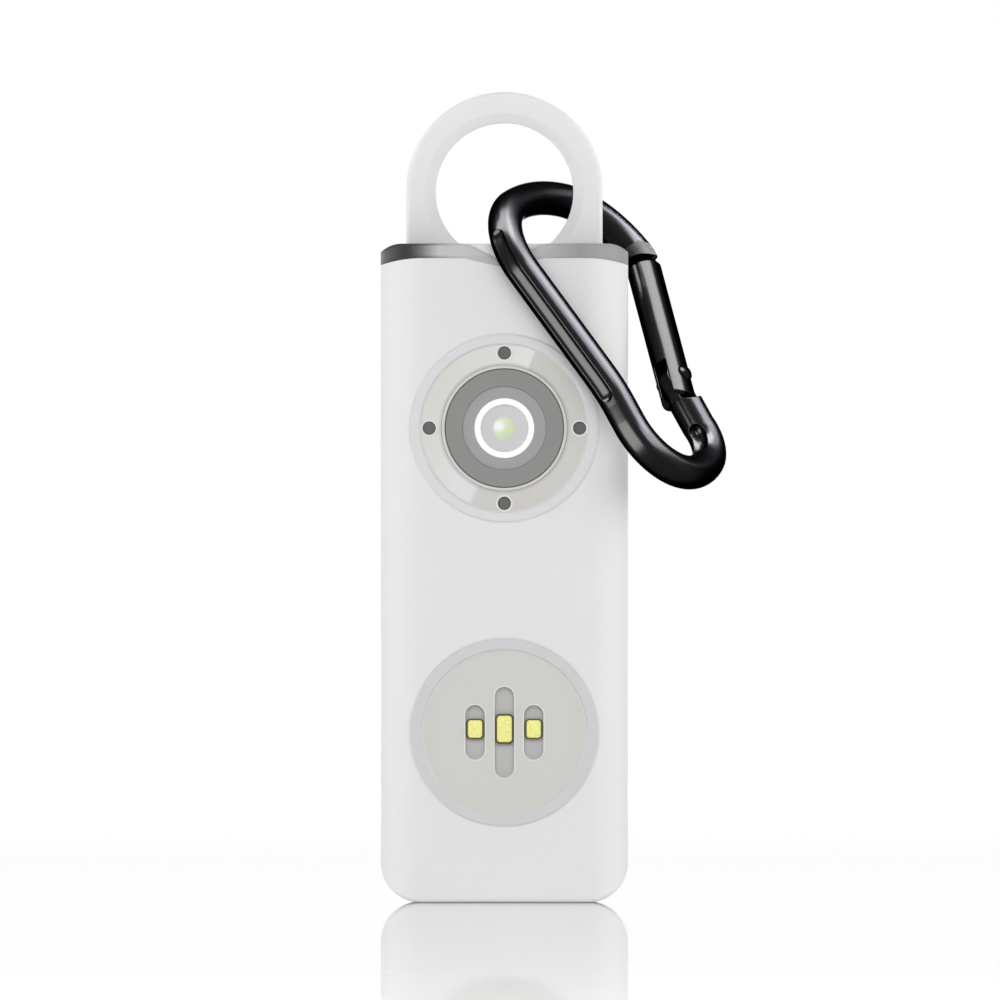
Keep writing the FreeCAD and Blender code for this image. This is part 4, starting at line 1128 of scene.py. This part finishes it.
@dataclass
class LightModule(RoundModule):
    """The round light button with its spun bezel."""

    centre_z: float = 55.5
    plate_radius: float = 9.8
    port_radius: float = 0.78
    port_circle: float = 8.8
    port_depth: float = 0.25
    port_gap: float = 0.01
    port_steps: int = 40
    screen_depth: float = 0.3
    rim_width: float = 0.22
    rim_rise: float = 0.04
    rim_round: float = 0.05
    rim_steps: int = 48
    lip_inner: float = 6.99
    lip_outer: float = 7.32
    lip_rise: float = 0.04
    lip_round: float = 0.06
    lip_depth: float = 0.25
    halo_y: float = -6.3
    skirt_inner: float = 2.68
    skirt_outer: float = 2.82
    skirt_rise: float = 0.03
    skirt_depth: float = 0.1
    skirt_steps: int = 96
    press_travel: float = 0.36

    def build(self) -> None:
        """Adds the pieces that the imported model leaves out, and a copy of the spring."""
        self._ports()
        self.add_seals("upper_seals")
        self._lip_and_skirt()
        self._spring()

    def _ports(self) -> None:
        """Adds the gauze in the bezel's holes and the rims round them, whose pale colour is a painted
        highlight.
        """
        radius, deep = self.port_radius - self.port_gap, self.screen_depth
        screen = [(0.0, 0.0), (radius * 0.8, 0.02), (radius, 0.06), (radius, deep), (0.0, deep)]
        inner, outer, rise = self.port_radius, self.port_radius + self.rim_width, self.rim_rise
        rim = [
            (inner, 0.02), (inner, -0.6 * rise), (inner + self.rim_round, -rise),
            (outer - self.rim_round, -rise), (outer, 0.02),
        ]
        screens, rims = [], []
        for turn in (0.0, math.pi / 2, math.pi, 3 * math.pi / 2):
            x, up = self.port_circle * math.sin(turn), self.port_circle * math.cos(turn)
            screens.append(turned(screen, self.at(self.plate_y + self.port_depth, x, up), self.port_steps))
            rims.append(turned(rim, self.at(self.plate_y, x, up), self.rim_steps))
        self.wardrobe.piece("port_screens", joined_up(screens), Finish.BLACK, Body.CASING, Extra.GAUZE)
        self.wardrobe.piece("port_rims", joined_up(rims), Finish.TRIM, Body.CASING, Extra.PAINTED_HIGHLIGHT_RIM)

    def _lip_and_skirt(self) -> None:
        """Adds the bezel's raised lip and the lens's pale skirt inside the halo."""
        inner, outer, edge, rise = self.lip_inner, self.lip_outer, self.lip_round, self.lip_rise
        lip = [
            (inner, self.lip_depth), (inner, 0.0), (inner + edge, -rise), (outer - edge, -rise),
            (outer, 0.0), (outer, self.lip_depth),
        ]
        ring = turned(lip, self.at(self.plate_y), self.plate_steps)
        self.wardrobe.piece("bezel_lip", ring, Finish.BEZEL, Body.CASING, Extra.LIP)
        inner, outer, rise = self.skirt_inner, self.skirt_outer, self.skirt_rise
        skirt = [
            (inner, self.skirt_depth), (inner, -rise), (outer - rise, -rise), (outer, -rise / 3),
            (outer, self.skirt_depth),
        ]
        ring = turned(skirt, self.at(self.halo_y), self.skirt_steps)
        self.wardrobe.piece("lens_skirt", ring, Finish.LENS, Body.BUTTON, Extra.SKIRT)

    def _spring(self) -> None:
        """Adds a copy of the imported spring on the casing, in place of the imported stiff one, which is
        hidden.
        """
        coil = bmesh.new()
        coil.from_mesh(frame["nodes"]["button_spring"].data)
        bmesh.ops.scale(coil, vec=(1 / MM, 1 / MM, 1 / MM), verts=coil.verts)
        made = self.wardrobe.piece("soft_button_spring", coil, Finish.SPRING, Body.CASING)
        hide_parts("button_spring")
        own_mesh(made)

    def dress(self) -> None:
        """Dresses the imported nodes."""
        self.wardrobe.dress({
            "upper_trim_ring": Finish.TRIM, "bezel_plate": Finish.BEZEL, "button_cap": Finish.BUTTON,
            "button_step": Finish.STEP, "button_halo": Finish.HALO, "torch_lens": Finish.LENS,
            "button_spring": Finish.SPRING, "switch_plunger": Finish.BLACK,
            "tact_switch": Finish.BLACK, "torch_led": Finish.LED_WHITE,
        })


@dataclass
class StrobeModule(RoundModule):
    """The slotted grille with its lamp chips and the sounder behind it."""

    centre_z: float = 19.9
    plate_radius: float = 9.6
    slot_width: float = 2.27
    slot_pitch: float = 3.43
    slot_heights: tuple[float, float, float] = (6.4, 10.65, 6.4)
    slot_rim_width: float = 0.16
    slot_rim_rise: float = 0.03
    slot_rim_depth: float = 0.05
    sides: tuple[str, str, str] = ("left", "centre", "right")
    lamp_rise: float = 0.4
    lamp_sizes: tuple[tuple[float, float], ...] = ((2.12, 2.42), (2.14, 3.54), (2.12, 2.42))
    lens_sizes: tuple[tuple[float, float], ...] = ((1.70, 2.12), (1.77, 3.12), (1.70, 2.12))
    lamp_corner: float = 0.55
    lamp_well: float = 0.25
    lens_overlap: float = 0.02
    lens_corner: float = 0.4
    lens_proud: float = 0.03
    lens_depth: float = 0.2
    lens_round: float = 0.12

    def build(self) -> None:
        """Adds the slot rims, whose pale colour is a painted highlight round the slots, the seals and the
        rounded lamp packages.
        """
        front, back = self.plate_y - self.slot_rim_rise, self.plate_y + self.slot_rim_depth
        rims = [
            obround_rim(
                (self.slot_width, height), self.slot_rim_width, front, back,
                ((index - 1) * self.slot_pitch, self.centre_z),
            )
            for index, height in enumerate(self.slot_heights)
        ]
        self.wardrobe.piece("slot_rims", joined_up(rims), Finish.GRILLE, Body.CASING, Extra.SLOT_PAINTED_HIGHLIGHT)
        self.add_seals("lower_seals")
        for index, side in enumerate(self.sides):
            self._lamp(side, (index - 1) * self.slot_pitch, self.lamp_sizes[index], self.lens_sizes[index])

    def _lamp(self, side: str, x: float, size: tuple[float, float], lens: tuple[float, float]) -> None:
        """Adds one lamp package with its yellow face.

        Args:
            side: The lamp's place in the row.
            x: Its middle along X.
            size: The package's width and height.
            lens: The yellow face's width and height.
        """
        low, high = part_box("strobe_led_" + side)
        front, back = low.y / MM, high.y / MM
        place = (x, self.centre_z + self.lamp_rise)
        package = rounded_block(size, front, back, self.lamp_corner, place)
        face = facing(package, -1)
        wall = (size[0] - lens[0]) / 2 - self.lens_overlap
        bmesh.ops.inset_region(package, faces=[face], thickness=wall)
        extruded(package, face, self.lamp_well)
        bmesh.ops.delete(package, geom=[face], context="FACES_ONLY")
        shell = self.wardrobe.piece("lamp_package_" + side, package, Finish.LED_FRAME, Body.CASING)
        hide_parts("strobe_led_" + side)
        gel = rounded_block(lens, front - self.lens_proud, front + self.lens_depth, self.lens_corner, place)
        rim = list(facing(gel, -1).edges)
        bmesh.ops.bevel(
            gel, geom=rim, offset=self.lens_round, segments=4, profile=0.5, affect="EDGES", material=-1
        )
        glass = self.wardrobe.piece("lamp_face_" + side, gel, Finish.LED_YELLOW, Body.CASING)
        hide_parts("strobe_lens_" + side)

    def dress(self) -> None:
        """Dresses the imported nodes."""
        self.wardrobe.dress({
            "lower_trim_ring": Extra.GREY_TRIM, "grille_plate": Finish.GRILLE,
            "strobe_board": Finish.SLOT_FLOOR, "sounder_housing": Finish.BLACK,
            "piezo_disc": Finish.PIEZO, "piezo_ceramic": Finish.CERAMIC,
        })
        for side in self.sides:
            self.wardrobe.dress({"strobe_led_" + side: Finish.LED_FRAME})
            self.wardrobe.dress({"strobe_lens_" + side: Finish.LED_YELLOW})


@dataclass
class Insides:
    """The board, the pull switch and the battery bay."""

    wardrobe: Wardrobe

    def dress(self) -> None:
        """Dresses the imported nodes."""
        self.wardrobe.dress({
            "main_board": Finish.BOARD, "board_screws": Finish.SCREW, "controller_chip": Finish.BLACK,
            "driver_transistor": Finish.BLACK, "resistors": Finish.BLACK,
            "boost_transformer": Finish.FERRITE, "storage_capacitor": Finish.CAN,
            "contact_block": Finish.BLACK, "switch_leaf_front": Finish.CONTACT,
            "switch_leaf_back": Finish.CONTACT, "coin_cell_1": Finish.CELL, "coin_cell_2": Finish.CELL,
            "battery_contact_negative": Finish.CONTACT, "battery_contact_positive": Finish.CONTACT,
            "battery_door": Finish.SHELL, "battery_door_screw": Finish.SCREW, "door_pad": Finish.PAD,
        })


@dataclass
class PullRing:
    """The frosted ring and its blade."""

    wardrobe: Wardrobe
    vee: Vee
    pad_front_y: float = -6.42
    pad_back_y: float = -5.5
    pad_lift: float = 0.17
    pad_share: float = 0.97
    top_z: float = 77.09

    def build(self) -> None:
        """Adds the saddle's front pad, which fills the cap's vee."""
        lower = self.vee.line(self.pad_lift, self.pad_share)
        ends = [(lower[-1][0], self.top_z), (lower[0][0], self.top_z)]
        pad = upright_prism(lower + ends, self.pad_front_y, self.pad_back_y)
        self.wardrobe.piece("saddle_pad", pad, Finish.RING, Body.RING)

    def dress(self) -> None:
        """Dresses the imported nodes."""
        self.wardrobe.dress({"pull_ring": Finish.RING, "activation_blade": Finish.BLADE})


@dataclass
class Carabiner:
    """The hook, its gate and the gate's rivet and spring."""

    wardrobe: Wardrobe
    lacquered: tuple[str, str, str] = ("carabiner_frame", "carabiner_gate", "gate_rivet")

    def dress(self) -> None:
        """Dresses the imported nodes."""
        self.wardrobe.dress(dict.fromkeys(self.lacquered, Finish.LACQUER))
        self.wardrobe.dress({"gate_plunger": Finish.RIVET, "gate_spring": Finish.SPRING})


class Seen(Enum):
    """Which objects a lamp lights."""

    ALL = "all"
    LACQUER = "lacquered_parts"
    FRAME = "lacquered_frame"


@dataclass(frozen=True)
class Lamp:
    """A rectangular lamp or reflector card that faces the object."""

    name: str
    direction: Point
    width: float
    height: float
    radiance: float
    colour: Colour = WHITE
    seen: Seen = Seen.ALL
    distance: float = 1.2
    aim: Point = MIDDLE
    long_side: Point = (0.0, 0.0, 0.0)
    flat: bool = False

    def place(self, groups: dict[Seen, bpy.types.Collection]) -> None:
        """Adds the lamp to the scene.

        Args:
            groups: The objects that each kind of card lights.
        """
        is_card = self.seen in groups
        data = bpy.data.lights.new(self.name, "AREA")
        data.shape = "RECTANGLE"
        data.size = self.width
        data.size_y = self.height
        data.color = self.colour
        data.energy = self.radiance * 4 * self.width * self.height
        made = bpy.data.objects.new(self.name, data)
        bpy.context.scene.collection.objects.link(made)
        out = Vector(self.direction).normalized()
        made.location = Vector(self.aim) + out * self.distance
        made.rotation_euler = self._turn(Vector((0.0, 0.0, 1.0)) if self.flat else out).to_euler()
        made.visible_camera = False
        made.visible_diffuse = not is_card
        made.visible_glossy = is_card
        made.visible_transmission = False
        if is_card:
            made.light_linking.receiver_collection = groups[self.seen]
            made.light_linking.blocker_collection = groups[self.seen]

    def _turn(self, out: Vector) -> Quaternion:
        """How the lamp is turned so that it faces the object.

        Args:
            out: The unit direction from the object to the lamp.

        Returns:
            The turn, with the lamp's width along the long side if there is one.
        """
        along = Vector(self.long_side)
        if along.length == 0.0:
            return out.to_track_quat("Z", "Y")
        wide = (along - out * along.dot(out)).normalized()
        tall = out.cross(wide)
        return Matrix((wide, tall, out)).transposed().to_quaternion()


ACROSS: Point = (1.0, 0.0, 0.0)
ALONG_SPINE: Point = (0.592, 0.0, -0.806)
OFF_SPINE: Point = (0.806, 0.0, 0.592)
SPINE_LOW: Point = (0.009, -0.009, 0.061)
SMALL_END: Point = (0.0244, 0.002, 0.0545)
SMALL_END_SIDE: Point = (0.0236, -0.0009, 0.0527)
LAMPS = (
    Lamp("front_fill", (0.0, -1.0, 0.3), 1.0, 1.0, 1.9),
    Lamp("left_fill", (-1.0, -0.02, 0.2), 0.7, 1.0, 2.5),
    Lamp("right_fill", (1.0, -0.02, 0.2), 0.7, 1.0, 2.5),
    Lamp("back_fill", (0.0, 1.0, 0.3), 1.0, 1.0, 1.6),
    Lamp(
        "card_above_front", (-0.65, -0.3, 1.0), 2.5, 0.5, 29.0, WARM, Seen.LACQUER, 1.23,
        MIDDLE, ACROSS, flat=True,
    ),
    Lamp(
        "card_above_back", (-0.05, 0.045, 1.0), 0.75, 0.19, 28.0, WARM, Seen.LACQUER, 1.0,
        MIDDLE, ACROSS, flat=True,
    ),
    Lamp(
        "card_above_right", (0.925, -0.37, 1.0), 0.35, 0.85, 10.0, COOL, Seen.FRAME, 1.412,
        MIDDLE, ACROSS, flat=True,
    ),
    Lamp(
        "card_right", (0.922, -0.526, 0.565), 0.42, 0.85, 22.0, COOL, Seen.FRAME, 1.203,
        MIDDLE, ALONG_SPINE,
    ),
    Lamp(
        "card_right_far", (0.96, 0.331, 0.643), 0.3, 0.97, 36.0, COOL, Seen.FRAME, 1.202,
        MIDDLE, ALONG_SPINE,
    ),
    Lamp(
        "card_flute", (-0.529, -0.755, -0.388), 0.09, 0.05, 16.0, CREAM, Seen.FRAME, 0.06,
        SPINE_LOW, OFF_SPINE,
    ),
    Lamp(
        "card_small_top", (0.35, -0.15, 1.0), 0.09, 0.08, 18.0, COOL, Seen.FRAME, 0.08,
        SMALL_END, ACROSS,
    ),
    Lamp(
        "card_small_side", (0.47, 0.5, 0.7), 0.05, 0.05, 22.0, COOL, Seen.FRAME, 0.07,
        SMALL_END_SIDE, ACROSS,
    ),
)


@dataclass(frozen=True)
class FloorGloss:
    """Glossy white that mirrors the object at a low angle and fades to white further off."""

    name: str = "floor_gloss"
    matt: Colour = (0.86, 0.86, 0.86)
    mirror: Colour = (0.99, 0.99, 0.99)
    mirror_roughness: float = 0.02
    mirror_fade_per_m: float = 0.62
    low_angle_gain: float = 2.06
    low_angle_power: float = 2.0
    near_white: float = 0.2
    white_from_m: float = 0.6
    white_at_m: float = 1.2

    def material(self) -> bpy.types.Material:
        """Builds the material."""
        bench = MaterialBench(self.name)
        x, y, _ = bench.place()
        away = span(x, y) * MM
        facing_away = bench.number("ShaderNodeLayerWeight", inputs={"Blend": 0.5}, output="Facing")
        low_angle = ((facing_away - 0.5) * self.low_angle_gain).clamped() ** self.low_angle_power
        mirror = low_angle * bench.ray("Camera") * (1.0 - away * self.mirror_fade_per_m).clamped()
        rise = (1.0 - self.near_white) * away.between(self.white_from_m, self.white_at_m)
        matt = bench.node(
            "ShaderNodeBsdfPrincipled",
            inputs={
                "Base Color": self.matt, "Roughness": 0.6, "Specular IOR Level": 0.0,
                "Emission Color": WHITE, "Emission Strength": bench.seen() * (self.near_white + rise),
            },
        )
        inputs = {"Color": self.mirror, "Roughness": self.mirror_roughness}
        gloss = bench.node("ShaderNodeBsdfGlossy", inputs=inputs)
        inputs = {0: mirror, 1: matt.outputs[0], 2: gloss.outputs[0]}
        mixed = bench.node("ShaderNodeMixShader", inputs=inputs)
        bench.node("ShaderNodeOutputMaterial", inputs={"Surface": mixed.outputs[0]})
        return bench.material


@dataclass
class Studio:
    """The floor, the world, the lamps and the camera."""

    mm_per_pixel: float = 0.117
    picture_pixels: int = 1000
    middle_x: float = -0.515
    middle_z: float = 47.09
    front_y: float = -6.5
    camera_distance: float = 3.0
    camera_reach: float = 50.0
    sensor: float = 36.0
    floor_drop: float = 0.02
    floor_size: float = 12.0
    ambient: float = 0.35

    def build(self, lacquered: tuple[str, ...]) -> None:
        """Builds the whole studio.

        Args:
            lacquered: The glossy black nodes, which alone see the cards, the frame first.
        """
        groups = {}
        for seen, names in ((Seen.LACQUER, lacquered), (Seen.FRAME, lacquered[:1])):
            groups[seen] = bpy.data.collections.new(seen.value)
            for name in names:
                groups[seen].objects.link(frame["nodes"][name])
        self._floor()
        self._world()
        for lamp in LAMPS:
            lamp.place(groups)
        self._camera()

    def _floor(self) -> None:
        """Adds the glossy pale floor."""
        mesh = bmesh.new()
        bmesh.ops.create_grid(mesh, x_segments=1, y_segments=1, size=self.floor_size / 2)
        bmesh.ops.translate(mesh, vec=(0, 0, -self.floor_drop * MM), verts=mesh.verts)
        data = bpy.data.meshes.new("floor")
        mesh.to_mesh(data)
        mesh.free()
        floor = bpy.data.objects.new("floor", data)
        bpy.context.scene.collection.objects.link(floor)
        data.materials.append(FloorGloss().material())

    def _world(self) -> None:
        """Adds a white world that lights softly."""
        world = bpy.data.worlds.new("studio")
        world.use_nodes = True
        bpy.context.scene.world = world
        bench = NodeBench(world.node_tree)
        strength = self.ambient + bench.seen() * (1.0 - self.ambient)
        back = bench.node("ShaderNodeBackground", inputs={"Color": WHITE, "Strength": strength})
        bench.node("ShaderNodeOutputWorld", inputs={"Surface": back.outputs[0]})

    def _camera(self) -> None:
        """Adds the camera straight in front, at the photograph's scale."""
        data = bpy.data.cameras.new("camera")
        data.sensor_width = self.sensor
        picture = self.mm_per_pixel * self.picture_pixels * MM
        data.lens = self.sensor * self.camera_distance / picture
        data.clip_end = self.camera_reach
        camera = bpy.data.objects.new("camera", data)
        bpy.context.scene.collection.objects.link(camera)
        camera.location = (self.middle_x * MM, self.front_y * MM - self.camera_distance, self.middle_z * MM)
        camera.rotation_euler = (math.pi / 2, 0.0, 0.0)
        bpy.context.scene.camera = camera
        bpy.context.scene.view_settings.view_transform = "Standard"


def main() -> None:
    """Builds the sub-assemblies in order."""
    logging.basicConfig(level=logging.INFO, format="%(message)s")
    wardrobe = Wardrobe()
    vee = Vee()
    casing = Casing(wardrobe, vee)
    casing.build()
    casing.dress()
    light = LightModule(wardrobe)
    light.build()
    light.dress()
    strobe = StrobeModule(wardrobe)
    strobe.build()
    strobe.dress()
    Insides(wardrobe).dress()
    ring = PullRing(wardrobe, vee)
    ring.build()
    ring.dress()
    carabiner = Carabiner(wardrobe)
    carabiner.dress()
    Studio().build(carabiner.lacquered)


if __name__ == "__main__":
    main()
